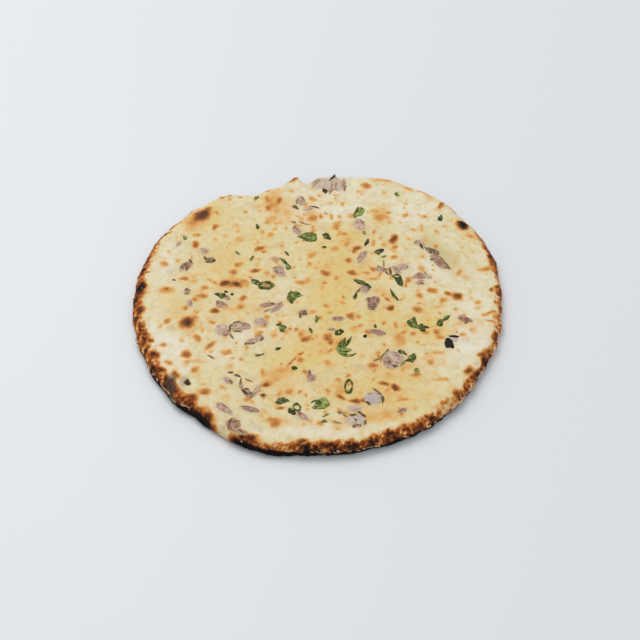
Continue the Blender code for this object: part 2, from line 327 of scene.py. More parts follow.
# %% Sizes of the round
HALF_WIDTH = 100.5
HALF_DEPTH = 107.0
OUTLINE_BUMPS = (  # clock angle, reach, how far out
    (22.0, 13.0, 4.8), (48.0, 14.0, 7.4), (68.0, 11.0, 6.4), (86.0, 3.5, 0.5),
    (93.5, 2.5, -5.5), (97.0, 1.6, 4.0), (103.0, 3.5, -4.2), (112.0, 6.5, -9.0),
    (124.0, 5.0, 2.0), (134.5, 3.0, 1.2), (146.0, 24.0, 3.0), (167.0, 4.0, 0.9),
    (181.0, 4.0, 0.7), (208.0, 14.0, -1.2), (226.0, 3.0, 0.6), (254.0, 12.0, 2.9),
    (288.0, 22.0, 1.3), (333.0, 18.0, -1.1),
)
SETTLING = (  # clock angle, reach, how far out: what the oven did after the dough was laid
    (6.0, 8.0, 0.7), (32.0, 5.0, 1.5), (50.0, 8.0, 1.4), (64.0, 6.0, 0.8), (80.0, 3.0, 0.9),
    (112.0, 5.0, 1.4), (154.0, 8.0, 0.7), (176.0, 5.0, 0.6), (232.0, 5.0, -1.3),
    (262.0, 24.0, -0.9), (288.0, 6.0, -0.9), (318.0, 16.0, -0.6),
)
THICKNESS = 6.8
RIM_LIFT = 0.5
RIM_LIFT_POWER = 6
RIM_WIDTH = 6.8
GIRTH_HEIGHT = 2.8
TUCK = 3.6
TOP_SWELLS = ((27.0, 0.35), (11.0, 0.18))
CRAGS = ((9.0, 0.55), (4.5, 0.55))
CRAG_SLANT = (2.0, -1.5)
LATTICE = 64
SWELL_SEED = 11
CRAG_SEED = 41
BLISTERS = (  # x, y, length, width, turn, height
    (-72.0, -66.5, 19.0, 9.0, -62.0, 2.2), (-64.0, -74.0, 11.0, 8.0, -50.0, 1.1),
    (-55.0, -85.0, 12.0, 8.0, -45.0, 0.9), (-46.5, -95.5, 12.0, 8.0, -60.0, 0.9),
    (-68.5, 69.5, 17.0, 12.0, 55.0, 1.1), (-26.0, 84.0, 24.0, 12.0, 85.0, 0.9),
    (30.5, 96.0, 10.0, 9.0, 90.0, 0.8), (43.0, 100.0, 14.0, 9.0, -20.0, 0.9),
    (75.0, 76.0, 11.0, 6.0, 65.0, 0.8), (84.5, 57.5, 10.0, 9.0, 0.0, 1.3),
    (77.0, 36.0, 36.0, 13.0, -60.0, 1.4), (75.5, -1.5, 14.0, 8.0, -15.0, 0.7),
    (36.0, 67.0, 14.0, 12.0, 80.0, 0.7), (43.5, 45.0, 10.0, 7.0, 60.0, 0.7),
    (-48.0, 9.0, 17.0, 10.0, 0.0, 0.9), (-70.0, -20.0, 11.0, 10.0, 0.0, 0.9),
)
print(len(OUTLINE_BUMPS), "bumps in the outline,", len(BLISTERS), "blisters")


# %% Soft noise
def soft_noise(x, y, cell, seed):
    """Smooth swells between -1 and 1, one to a cell, that repeat after LATTICE cells."""
    heights = np.random.default_rng(seed).uniform(-1.0, 1.0, (LATTICE, LATTICE))
    column = np.floor(x / cell).astype(int)
    row = np.floor(y / cell).astype(int)
    across = x / cell - column
    up = y / cell - row
    across = across**2 * (3.0 - 2.0 * across)
    up = up**2 * (3.0 - 2.0 * up)
    left = column % LATTICE
    right = (column + 1) % LATTICE
    near = row % LATTICE
    far = (row + 1) % LATTICE
    front = heights[near, left] * (1.0 - across) + heights[near, right] * across
    back = heights[far, left] * (1.0 - across) + heights[far, right] * across
    return front * (1.0 - up) + back * up


def turned_noise(x, y, cell, seed):
    """The same noise on a turned lattice, so that its rows don't line up with the bread."""
    cos = np.cos(float(seed))
    sin = np.sin(float(seed))
    return soft_noise(x * cos - y * sin, x * sin + y * cos, cell, seed)


def layered_noise(x, y, layers):
    """Turned noise in layers of (cell, height, seed)."""
    return sum(height * turned_noise(x, y, cell, seed) for cell, height, seed in layers)


# %% Outline and height of the dough
def along_and_across(x, y, place):
    """How far (x, y) lies along and across a piece, in its own half-lengths."""
    middle_x, middle_y, length, width, turn = place[:5]
    cos = np.cos(np.radians(turn))
    sin = np.sin(np.radians(turn))
    along = ((x - middle_x) * cos + (y - middle_y) * sin) / (length / 2)
    across = ((y - middle_y) * cos - (x - middle_x) * sin) / (width / 2)
    return along, across


def outline(angle):
    """How far the bread's edge is from its middle, at an angle in radians."""
    wide = HALF_WIDTH * np.sin(angle)
    deep = HALF_DEPTH * np.cos(angle)
    edge = HALF_WIDTH * HALF_DEPTH / np.hypot(wide, deep)
    for clock, reach, out in OUTLINE_BUMPS + SETTLING:
        gap = (np.degrees(angle) - clock + 180.0) % 360.0 - 180.0
        edge = edge + out * np.exp(-((gap / reach) ** 2))
    return edge


def plateau(x, y):
    """Height of the top, as if it ran on past the shoulder."""
    share = np.hypot(x, y) / outline(np.arctan2(y, x))
    height = THICKNESS + RIM_LIFT * np.clip(share, 0.0, 1.0) ** RIM_LIFT_POWER
    for number, (cell, swell) in enumerate(TOP_SWELLS):
        height = height + swell * soft_noise(x, y, cell, SWELL_SEED + number)
    for blister in BLISTERS:
        along, across = along_and_across(x, y, blister)
        height = height + blister[5] * np.exp(-(along**2) - across**2)
    return height


def top_height(x, y):
    """Height of the bread at a place inside its outline, shoulder included."""
    inward = outline(np.arctan2(y, x)) - np.hypot(x, y)
    fall = np.clip(1.0 - inward / RIM_WIDTH, 0.0, 1.0)
    return GIRTH_HEIGHT + (plateau(x, y) - GIRTH_HEIGHT) * np.sqrt(1.0 - fall**2)


def crags(x, y, z):
    """How far the toasted side stands out at a place."""
    out = 0.0
    for number, (cell, depth) in enumerate(CRAGS):
        slant_x = x + CRAG_SLANT[0] * z
        slant_y = y + CRAG_SLANT[1] * z
        out = out + depth * soft_noise(slant_x, slant_y, cell, CRAG_SEED + number)
    return out


print("top at the middle:", round(float(top_height(0.0, 0.0)), 2), "mm")

# %% [markdown]
# ## Where the heat caught it
#
# Leavened dough blisters on its thin spots, and a blister stands closer to the fire, so it
# browns first: gold, orange, brown, and at last black. Noise alone could scatter such spots, but
# it can't put the ones that everybody would notice in their places. So each large spot is laid
# one by one as an oval with a steep core in a wide soft halo, and wide patches of gold lie under
# them. Only the many small soft specks between them are scattered.

# %% Toasted spots on the top: (x, y, length, width, turn, toast at the peak)
CHAR_SPOTS = (
    (-68.2, 68.4, 12.4, 7.6, 50.0, 0.86), (-65.5, 73.0, 6.0, 4.4, 60.0, 0.70),
    (-51.0, 9.3, 5.8, 4.8, 0.0, 0.80), (-45.2, 9.0, 5.0, 4.8, 0.0, 0.80),
    (-69.4, -20.8, 6.8, 8.2, -25.0, 0.80), (85.2, 56.8, 6.2, 6.6, 30.0, 1.40),
    (76.4, -2.4, 5.6, 4.6, 20.0, 0.80), (71.6, -0.6, 4.6, 3.6, -20.0, 0.70),
    (63.4, 2.4, 4.2, 4.0, 0.0, 0.56), (43.5, 45.5, 8.0, 4.0, 62.0, 0.82),
    (22.5, 38.0, 5.6, 3.8, 40.0, 0.74), (21.0, 35.0, 4.0, 3.0, 80.0, 0.6),
    (19.0, 18.0, 4.6, 4.0, 0.0, 0.68), (4.2, 17.6, 6.0, 4.8, -10.0, 0.7),
    (17.0, 28.0, 4.8, 3.4, -70.0, 0.66), (3.5, 10.0, 3.4, 2.6, 30.0, 0.5),
    (-33.0, 39.5, 8.0, 4.0, 35.0, 0.62), (-30.0, 36.5, 4.0, 2.6, 40.0, 0.6),
    (-35.0, 21.0, 6.0, 3.0, 10.0, 0.72), (-22.3, 82.5, 5.5, 3.2, 75.0, 0.62),
    (-29.5, 85.5, 6.0, 4.0, -60.0, 0.46), (-28.5, 75.3, 5.0, 4.5, 80.0, 0.48),
    (30.5, 96.0, 5.6, 5.2, 90.0, 0.60), (75.0, 75.8, 8.5, 3.2, 66.0, 0.7),
    (53.5, -13.0, 4.6, 4.2, 0.0, 0.54), (39.2, -11.2, 4.6, 3.2, 60.0, 0.76),
    (37.0, -4.5, 2.8, 2.4, 0.0, 0.66), (-56.0, -12.5, 5.0, 3.8, -20.0, 0.76),
    (-41.0, -2.5, 4.0, 3.0, 0.0, 0.62), (-42.0, -9.0, 4.6, 3.0, 40.0, 0.52),
    (-68.7, -44.0, 5.2, 4.4, 70.0, 0.72), (-63.7, -32.5, 5.8, 4.4, -65.0, 0.54),
    (-55.8, -37.8, 6.0, 3.6, 50.0, 0.56), (-6.5, -34.0, 4.2, 3.6, 0.0, 0.62),
    (5.3, -33.0, 6.0, 4.6, 80.0, 0.55), (6.5, -36.5, 3.6, 2.6, 60.0, 0.50),
    (-14.0, -49.5, 7.0, 2.4, 55.0, 0.62), (-9.8, -44.8, 5.0, 2.6, 30.0, 0.62),
    (33.5, -65.5, 6.0, 3.0, -20.0, 0.74), (38.5, -68.7, 5.0, 3.2, -40.0, 0.84),
    (11.0, -74.6, 5.0, 2.8, -25.0, 0.76), (18.5, -77.0, 7.0, 3.0, -8.0, 0.8),
    (24.0, -77.5, 5.0, 2.6, -12.0, 0.82), (-26.5, -65.0, 5.0, 3.2, 55.0, 0.72),
    (-28.2, -72.8, 3.4, 2.0, -20.0, 0.8), (-19.0, -81.0, 4.4, 2.0, 0.0, 0.78),
    (27.5, -53.5, 5.0, 4.0, 0.0, 0.56), (-60.0, 58.0, 5.2, 3.8, 75.0, 0.64),
    (-70.0, 43.5, 5.4, 3.8, 85.0, 0.68), (-74.7, 14.0, 5.2, 4.6, 0.0, 0.62),
    (-83.0, 4.5, 9.0, 6.0, -10.0, 0.46), (-83.5, 5.0, 4.0, 3.0, 0.0, 0.68),
    (-62.5, 6.3, 4.4, 3.8, 0.0, 0.56), (-45.0, 26.0, 5.6, 4.4, 20.0, 0.52),
    (-80.5, -19.0, 4.2, 3.4, 60.0, 0.56), (33.0, 71.5, 4.0, 3.6, 0.0, 0.30),
    (37.0, 64.0, 6.0, 5.0, 80.0, 0.34), (11.8, 58.5, 9.0, 4.4, 86.0, 0.46),
    (52.0, 67.5, 4.6, 3.8, 0.0, 0.42), (-2.5, 84.3, 5.0, 4.6, 80.0, 0.46),
    (-2.6, 66.0, 6.0, 4.4, 60.0, 0.46), (32.0, 43.5, 7.0, 3.0, 80.0, 0.5),
    (43.8, 30.3, 4.8, 3.4, 0.0, 0.54), (44.8, 39.3, 4.2, 2.8, 20.0, 0.5),
    (63.5, -30.0, 4.4, 3.4, 60.0, 0.6), (57.0, -30.2, 4.0, 2.8, 0.0, 0.5),
    (64.5, -33.5, 4.4, 3.0, -30.0, 0.52), (80.0, 15.5, 5.4, 2.8, 60.0, 0.5),
    (86.3, -7.5, 4.0, 3.0, 0.0, 0.44), (-47.0, -43.0, 5.0, 3.2, -10.0, 0.5),
    (-63.5, 0.0, 7.0, 2.6, 0.0, 0.52), (-59.0, 70.0, 2.6, 2.2, 0.0, 0.4),
    (-43.0, 72.0, 3.4, 2.8, 0.0, 0.42), (17.7, -18.0, 5.0, 4.0, -60.0, 0.56),
    (7.0, -14.5, 4.4, 3.0, 20.0, 0.46), (13.5, -6.5, 4.0, 2.2, -40.0, 0.42),
    (4.0, -8.0, 4.0, 2.6, 0.0, 0.44), (22.5, -25.0, 3.6, 3.2, 40.0, 0.48),
    (26.5, -29.5, 4.0, 3.0, 20.0, 0.6), (49.5, -61.0, 6.0, 2.4, 12.0, 0.54),
    (41.5, -77.0, 6.0, 1.8, 8.0, 0.46), (61.0, -64.0, 6.5, 2.6, 8.0, 0.34),
    (62.0, -45.0, 7.0, 2.4, 8.0, 0.36), (41.5, -24.0, 6.0, 3.0, 80.0, 0.44),
    (45.5, -29.0, 4.0, 2.6, 30.0, 0.48), (-3.0, -14.0, 4.4, 3.6, 0.0, 0.4),
    (-26.5, -17.0, 3.6, 3.2, 0.0, 0.46), (-56.5, -20.0, 6.0, 3.2, 0.0, 0.46),
    (-10.0, 10.0, 6.0, 3.6, -30.0, 0.44), (28.0, 17.5, 4.0, 3.0, 20.0, 0.44),
    (30.5, 12.5, 4.0, 2.8, 0.0, 0.44), (50.0, 10.5, 6.5, 3.0, 65.0, 0.5),
    (14.0, 67.5, 3.0, 2.6, 0.0, 0.4), (61.0, 55.0, 6.5, 2.6, 85.0, 0.34),
    (-53.5, 51.0, 5.0, 4.0, 20.0, 0.3), (-44.0, 48.0, 6.0, 4.6, -60.0, 0.32),
)
print(len(CHAR_SPOTS), "spots laid by hand")

# %% Wide patches of soft gold: (x, y, length, width, turn, toast)
GOLD_PATCHES = (
    (-72.0, 64.0, 22.0, 15.0, 55.0, 0.30), (-26.0, 84.0, 24.0, 12.0, 85.0, 0.30),
    (36.5, 67.5, 15.0, 10.0, 82.0, 0.27), (43.5, -34.5, 12.0, 6.5, 85.0, 0.39),
    (-20.0, -58.0, 17.0, 12.0, 30.0, 0.30), (38.0, -61.0, 18.0, 8.0, 0.0, 0.26),
    (-21.0, -89.5, 12.0, 3.4, -12.0, 0.40), (-7.0, -92.0, 14.0, 3.0, -6.0, 0.22),
    (6.0, -52.5, 12.0, 3.0, -28.0, 0.30), (36.0, 0.0, 10.0, 16.0, 0.0, 0.22),
    (37.0, -10.5, 7.0, 4.0, 20.0, 0.34), (-62.5, -49.5, 12.0, 3.6, 0.0, 0.28),
    (17.5, 46.0, 13.0, 9.0, 70.0, 0.26), (90.0, 46.0, 12.0, 8.0, -50.0, 0.26),
    (68.0, 84.0, 9.0, 7.0, -50.0, 0.30), (42.0, 101.0, 14.0, 5.0, -20.0, 0.36),
    (27.5, 90.0, 6.0, 7.0, 80.0, 0.24), (-17.0, 64.5, 8.0, 6.0, -40.0, 0.26),
    (-68.0, 18.0, 10.0, 4.0, 10.0, 0.24), (-50.0, -9.0, 16.0, 7.0, 10.0, 0.20),
    (-48.0, 10.0, 17.0, 10.0, 0.0, 0.34), (-70.0, -20.0, 12.0, 11.0, 0.0, 0.26),
    # The wide faint rows with y from -35 to -88, here and below, make the front half of the top a little
    # darker and more golden.
    (24.0, 25.0, 22.0, 20.0, 30.0, 0.12), (0.0, -35.0, 26.0, 22.0, 0.0, 0.14),
    (12.0, -84.5, 7.0, 2.4, -35.0, 0.50), (6.5, -90.5, 8.0, 2.0, -35.0, 0.36),
    (-11.0, 60.0, 10.0, 2.0, -20.0, 0.30), (58.5, 20.0, 6.0, 4.0, 60.0, 0.28),
    (14.0, -71.0, 7.0, 5.0, 0.0, 0.24), (-57.0, -28.0, 8.0, 3.0, 60.0, 0.2),
    (-28.7, 8.6, 8.0, 6.0, 0.0, 0.36), (38.0, -56.0, 32.0, 18.0, 0.0, 0.20),
    (26.0, -88.0, 36.0, 10.0, 8.0, 0.30), (-16.0, -66.0, 26.0, 18.0, 0.0, 0.20),
    (10.0, -70.0, 34.0, 14.0, 0.0, 0.18),
    (-20.0, 74.0, 18.0, 26.0, 0.0, 0.24), (0.0, 70.0, 16.0, 14.0, 0.0, 0.18),
    (-58.0, 32.0, 20.0, 22.0, 0.0, 0.16),
    (-42.0, -9.0, 22.0, 12.0, 0.0, 0.16), (84.0, -26.0, 14.0, 16.0, 0.0, 0.16),
    (50.0, -27.0, 24.0, 9.0, -10.0, 0.18),
    (38.0, -74.0, 26.0, 12.0, 0.0, 0.18), (55.8, 92.6, 11.0, 3.0, -28.0, 0.42),
    (93.0, -16.4, 7.0, 1.8, 25.0, 0.55), (92.4, -22.6, 6.0, 1.8, -20.0, 0.5),
    (94.6, -19.6, 1.8, 6.0, 0.0, 0.45), (93.6, 17.8, 7.0, 3.4, 10.0, 0.5),
)
print(len(GOLD_PATCHES), "gold patches")


# %% Ragged ovals
RAGGED = ((5.0, 1.0, 21), (2.0, 0.5, 25))  # size of one wander, how far, seed
SPOT_FADE = 0.72
SPOT_POWER = 1.15
CORE_POWER = 1.8
HALO_SHARE = 0.25
HALO_FADE = 0.34
SPOT_REACH = 1.5  # in the spot's lengths; past it next to nothing is left


def wandered(x, y):
    """The place moved a little this way and that, so that an oval laid there comes out ragged."""
    for cell, drift, seed in RAGGED:
        moved_x = x + drift * turned_noise(x, y, cell, seed)
        moved_y = y + drift * turned_noise(x, y, cell, seed + 1)
        x, y = moved_x, moved_y
    return x, y


def oval(x, y, place):
    """1 in the middle of an oval, about a half at its edge, and nearly gone at twice that."""
    along, across = along_and_across(x, y, place)
    return np.exp(-SPOT_FADE * (along**2 + across**2) ** SPOT_POWER)


def haloed(x, y, place):
    """A scorched spot: a core with a steep edge in a wide soft halo."""
    along, across = along_and_across(x, y, place)
    gap = along**2 + across**2
    core = np.exp(-SPOT_FADE * gap**CORE_POWER)
    return (1.0 - HALO_SHARE) * core + HALO_SHARE * np.exp(-HALO_FADE * gap)


def highest(x, y, places, shape=oval):
    """The strongest of the ovals at each place; each is worked out only near itself."""
    found = np.zeros_like(x)
    for place in places:
        reach = SPOT_REACH * max(place[2], place[3])
        near = (np.abs(x - place[0]) < reach) & (np.abs(y - place[1]) < reach)
        found[near] = np.maximum(found[near], place[5] * shape(x[near], y[near], place))
    return found


# %% Small soft spots between the large ones
SPECKS = 1050
SPECK_SEED = 63
SPECK_FIELD = 95.0
SPECK_LAST_SHARE = 0.93  # of the way from the middle to the edge
SPECK_THINNING = 0.7
SPECK_LENGTHS = (1.8, 3.2, 1.8)  # least, how much more at most, power that favours the least
SPECK_TOASTS = (0.08, 0.46, 1.9)
SPECK_WIDTHS = (0.6, 1.0)  # shares of the length
SPECK_TURNS = (50.0, 130.0)


def scattered_specks():
    """Seeded spots 1.8 to 5 mm long, most of them faint, and fewer towards the rim."""
    draws = np.random.default_rng(SPECK_SEED)
    specks = []
    while len(specks) < SPECKS:
        x, y = draws.uniform(-SPECK_FIELD, SPECK_FIELD, 2)
        share = np.hypot(x, y) / outline(np.arctan2(y, x))
        if share > SPECK_LAST_SHARE or draws.random() < share**2 * SPECK_THINNING:
            continue
        least, more, power = SPECK_LENGTHS
        length = least + more * draws.random() ** power
        width = length * draws.uniform(*SPECK_WIDTHS)
        least, more, power = SPECK_TOASTS
        toast = least + more * draws.random() ** power
        specks.append((x, y, length, width, draws.uniform(*SPECK_TURNS), toast))
    return specks


specks = scattered_specks()
print(len(specks), "scattered specks; the darkest", round(max(s[5] for s in specks), 2))

# %% [markdown]
# ## The toasted rim
#
# The side of the bread faces the fire, and it isn't even: the front is burnt black, and the rest
# is gold to brown. The black of the front wall is painted shade as well, because that wall faces
# away from the lamp. One brown all round would look like a pie crust, and a rim painted by hand
# can't be changed by a number. So a short table round the clock says how wide the toasted band on
# the shoulder is, how dark it and the wall below it are, how much of the skin between them has
# lifted into pale flakes, and at which slope of the side the wall begins (0 upright, 90 flat).
# Points between its rows are interpolated.

# %% Rim, round the clock: (angle, band width, toast, toast of the wall with painted shade at the front, flakes, wall's top slope)
RIM = (
    (0, 3.8, 0.32, 0.28, 0.9, 0), (14, 4.4, 0.37, 0.30, 0.8, 0), (24, 3.8, 0.40, 0.32, 0.6, 0),
    (36, 1.2, 0.26, 0.46, 0.1, 4), (55, 1.0, 0.22, 0.40, 0.1, 4), (72, 1.4, 0.34, 0.42, 0.1, 4),
    (84, 1.0, 0.20, 0.42, 0.0, 4), (100, 1.2, 0.28, 0.42, 0.0, 4), (125, 1.4, 0.30, 0.46, 0.1, 4),
    (145, 2.2, 0.32, 0.34, 0.3, 2), (158, 4.2, 0.36, 0.28, 0.8, 0), (170, 5.4, 0.38, 0.26, 1.0, -2),
    # From 199 to 326 on the clock, the front, the wall's dark toast is char and also painted shade of that
    # wall.
    (176, 5.6, 0.46, 0.40, 0.8, -2), (188, 5.8, 0.42, 0.34, 1.0, 0), (199, 6.2, 0.46, 0.66, 1.0, 4),
    (210, 6.4, 0.50, 0.90, 0.9, 8), (219, 6.6, 0.52, 1.02, 0.5, 14), (228, 6.6, 0.56, 1.14, 0.6, 20),
    (236, 4.2, 0.58, 1.34, 0.3, 34), (246, 3.8, 0.58, 1.34, 0.3, 32), (253, 3.8, 0.54, 1.34, 0.3, 28),
    (260, 4.0, 0.50, 1.34, 0.4, 15), (268, 4.2, 0.52, 1.34, 0.45, 12), (282, 4.2, 0.52, 1.32, 0.45, 12),
    (295, 4.2, 0.52, 1.28, 0.5, 10), (306, 3.8, 0.50, 1.22, 0.8, 7), (316, 3.8, 0.50, 1.08, 1.0, 4),
    (326, 3.8, 0.48, 0.86, 1.0, 2), (337, 3.6, 0.40, 0.46, 0.9, 0), (348, 3.6, 0.34, 0.30, 0.9, 0),
)
RIM_CHAR = (  # x, y, length, width, turn, toast: where the rim is burnt
    (-98.0, 7.0, 11.0, 5.6, 88.0, 1.25), (-97.0, -10.5, 8.0, 5.5, 105.0, 0.92),
    (-91.0, -29.0, 6.0, 4.0, -50.0, 0.86), (-88.0, -34.0, 4.0, 3.0, 40.0, 0.84),
    (-86.0, -44.0, 8.0, 4.4, -55.0, 0.92), (-81.0, -55.0, 7.0, 3.4, -50.0, 0.86),
    (-72.6, -58.4, 7.0, 3.6, -75.0, 0.74), (-75.0, -68.5, 14.0, 6.4, -70.0, 0.86),
    (-71.0, -80.5, 12.0, 4.4, -45.0, 1.05), (-62.8, -75.2, 6.6, 4.4, 70.0, 0.84),
    (-57.4, -70.4, 6.0, 5.4, 0.0, 0.64), (-54.0, -87.6, 10.5, 7.4, -48.0, 1.25),
    (-42.5, -98.5, 9.0, 5.0, -25.0, 1.25), (-33.0, -100.5, 10.0, 5.0, -20.0, 0.92),
    (-13.4, 104.2, 8.0, 3.2, 40.0, 0.74), (97.5, -8.0, 4.0, 2.2, 80.0, 0.66),
    (98.0, 27.0, 5.0, 2.4, 80.0, 0.68), (97.5, 19.0, 4.0, 2.2, 70.0, 0.50),
    (96.2, 3.0, 3.4, 2.6, 80.0, 0.74),
    (84.5, -46.0, 5.0, 3.4, 60.0, 0.78), (77.0, -58.0, 6.0, 3.6, 60.0, 0.86),
    (69.0, -73.0, 5.0, 3.4, 60.0, 0.84), (49.0, -93.0, 8.0, 3.6, 30.0, 0.88),
    (35.0, -99.0, 7.0, 3.4, 20.0, 0.84), (2.0, -104.0, 7.0, 4.0, 0.0, 0.88),
    (-8.0, -102.5, 6.0, 3.4, 0.0, 0.82), (45.0, 101.4, 5.0, 2.2, -20.0, 0.72),
    (69.2, 87.6, 2.8, 2.2, 0.0, 0.86), (63.4, 89.1, 5.0, 2.0, -50.0, 0.45),
    (-30.5, 93.0, 4.0, 1.8, 30.0, 0.74),
    (-53.0, 88.0, 3.4, 2.2, 45.0, 0.68), (-57.5, 86.0, 3.6, 1.8, 10.0, 0.66),
    (-46.0, 86.7, 4.0, 1.6, 0.0, 0.62), (-91.0, 50.5, 3.0, 1.8, 70.0, 0.8),
    (-93.5, 42.0, 4.0, 1.8, 62.0, 0.74), (-96.0, 34.0, 3.4, 2.0, 70.0, 0.76),
    (-98.0, 24.0, 5.0, 1.8, 40.0, 0.8), (-95.5, 20.0, 4.0, 1.6, 25.0, 0.76),
    (-86.5, 54.0, 2.6, 1.8, 40.0, 0.56), (85.6, -46.4, 5.4, 4.4, 60.0, 0.70),
)
RIM_PALE = (  # x, y, length, width, turn, share left pale: where raw dough shows at the rim
    (-47.4, -93.0, 17.0, 7.6, -66.0, 1.0), (-51.5, -84.5, 8.0, 2.6, -62.0, 0.8),
    (-65.6, -71.0, 7.0, 5.0, -50.0, 0.55), (-24.0, -101.0, 6.0, 3.0, -30.0, 0.8),
    (63.5, -80.0, 9.0, 3.0, 52.0, 0.7), (89.0, -37.0, 7.0, 3.0, 65.0, 0.8),
    (-66.0, -63.5, 5.0, 1.6, -68.0, 0.9), (93.0, -14.0, 9.0, 4.0, 80.0, 0.6),
)
ASH = ((-74.0, -65.0, 16.0, 5.4, -80.0, 1.0), (-74.8, -73.6, 12.0, 7.5, -52.0, 1.0))
print("rim table:", len(RIM), "rows;", len(RIM_CHAR), "burnt places")


# %% Rim fields
BAND_WANDER = (0.45, 6.0, 31)  # share of the band's width, cell, seed
BAND_TEETH = (1.3, 2.3, 32)  # millimetres, cell, seed
BAND_FADE = (0.35, 1.2)  # shares of the band's width between which it fades
BAND_SOFTNESS = 0.8


def smooth_step(low, high, value):
    share = np.clip((value - low) / (high - low), 0.0, 1.0)
    return share**2 * (3.0 - 2.0 * share)


def rim_at(x, y):
    """The rim table's columns at each place."""
    clock = np.degrees(np.arctan2(y, x)) % 360.0
    rows = np.array(RIM, dtype=float)
    return [np.interp(clock, rows[:, 0], rows[:, n], period=360.0) for n in range(1, 6)]


def rim_band(x, y, inward):
    """1 on the toasted band of the shoulder, 0 on the soft top, with a ragged border."""
    share, cell, seed = BAND_WANDER
    ragged = rim_at(x, y)[0] * (1.0 + share * turned_noise(x, y, cell, seed))
    reach, cell, seed = BAND_TEETH
    ragged = ragged + reach * turned_noise(x, y, cell, seed)
    start, end = BAND_FADE
    return 1.0 - smooth_step(ragged * start, ragged * end + BAND_SOFTNESS, inward)


# %% [markdown]
# ## Bubbles
#
# Where crust dries fast it froths: small domes crowd together, each with a sharp valley to the
# next. A bump pattern could draw them, but the crust has to be rough in its outline too, and a
# flat pattern would smear on the upright side. So the height comes from the distance to the
# nearest of many seeded points in space, which works in all three dimensions.


# %% Bubble noise
BUBBLE_LATTICE = 32
BUBBLE_RADIUS = 0.85  # in cells
BUBBLE_NEIGHBOURS = [(i, j, k) for i in (-1, 0, 1) for j in (-1, 0, 1) for k in (-1, 0, 1)]


def bubbles(points, cell, seed):
    """Domes from 0 in the valleys to 1 on top, one to a cell, over points in space."""
    draws = np.random.default_rng(seed)
    seeds = draws.random((BUBBLE_LATTICE,) * 3 + (3,))
    scaled = points / cell
    home = np.floor(scaled).astype(int)
    nearest = np.full(len(points), np.inf)
    for step in BUBBLE_NEIGHBOURS:
        room = home + np.array(step)
        index = tuple((room % BUBBLE_LATTICE).T)
        gap = np.linalg.norm(room + seeds[index] - scaled, axis=1)
        nearest = np.minimum(nearest, gap)
    return np.sqrt(np.clip(1.0 - (nearest / BUBBLE_RADIUS) ** 2, 0.0, 1.0))


print("one bubble cell:", bubbles(np.zeros((1, 3)), 2.0, 5).round(2))

# %% [markdown]
# ## What is pressed into the dough
#
# Chopped onion went in raw, was pressed half under, and baked: it turned glassy and mauve-grey.
# Its thin ends and the threads beside it singed brown and black. Coriander leaves and cut chilli
# lie among them. Each piece could be modelled by itself, but more than two hundred pieces are
# quicker to lay and to move as rows of a table. One shape serves for nearly all: a lobe, which is
# an oval that may be bent and whose two ends may be blunt (below 0) or pointed (up to 1). A leaf
# is two or three lobes that overlap, as on the plant. A row gives a lobe's place, length, width
# and turn, then one number for its colour, and only where it matters the bend in degrees and the
# two ends.

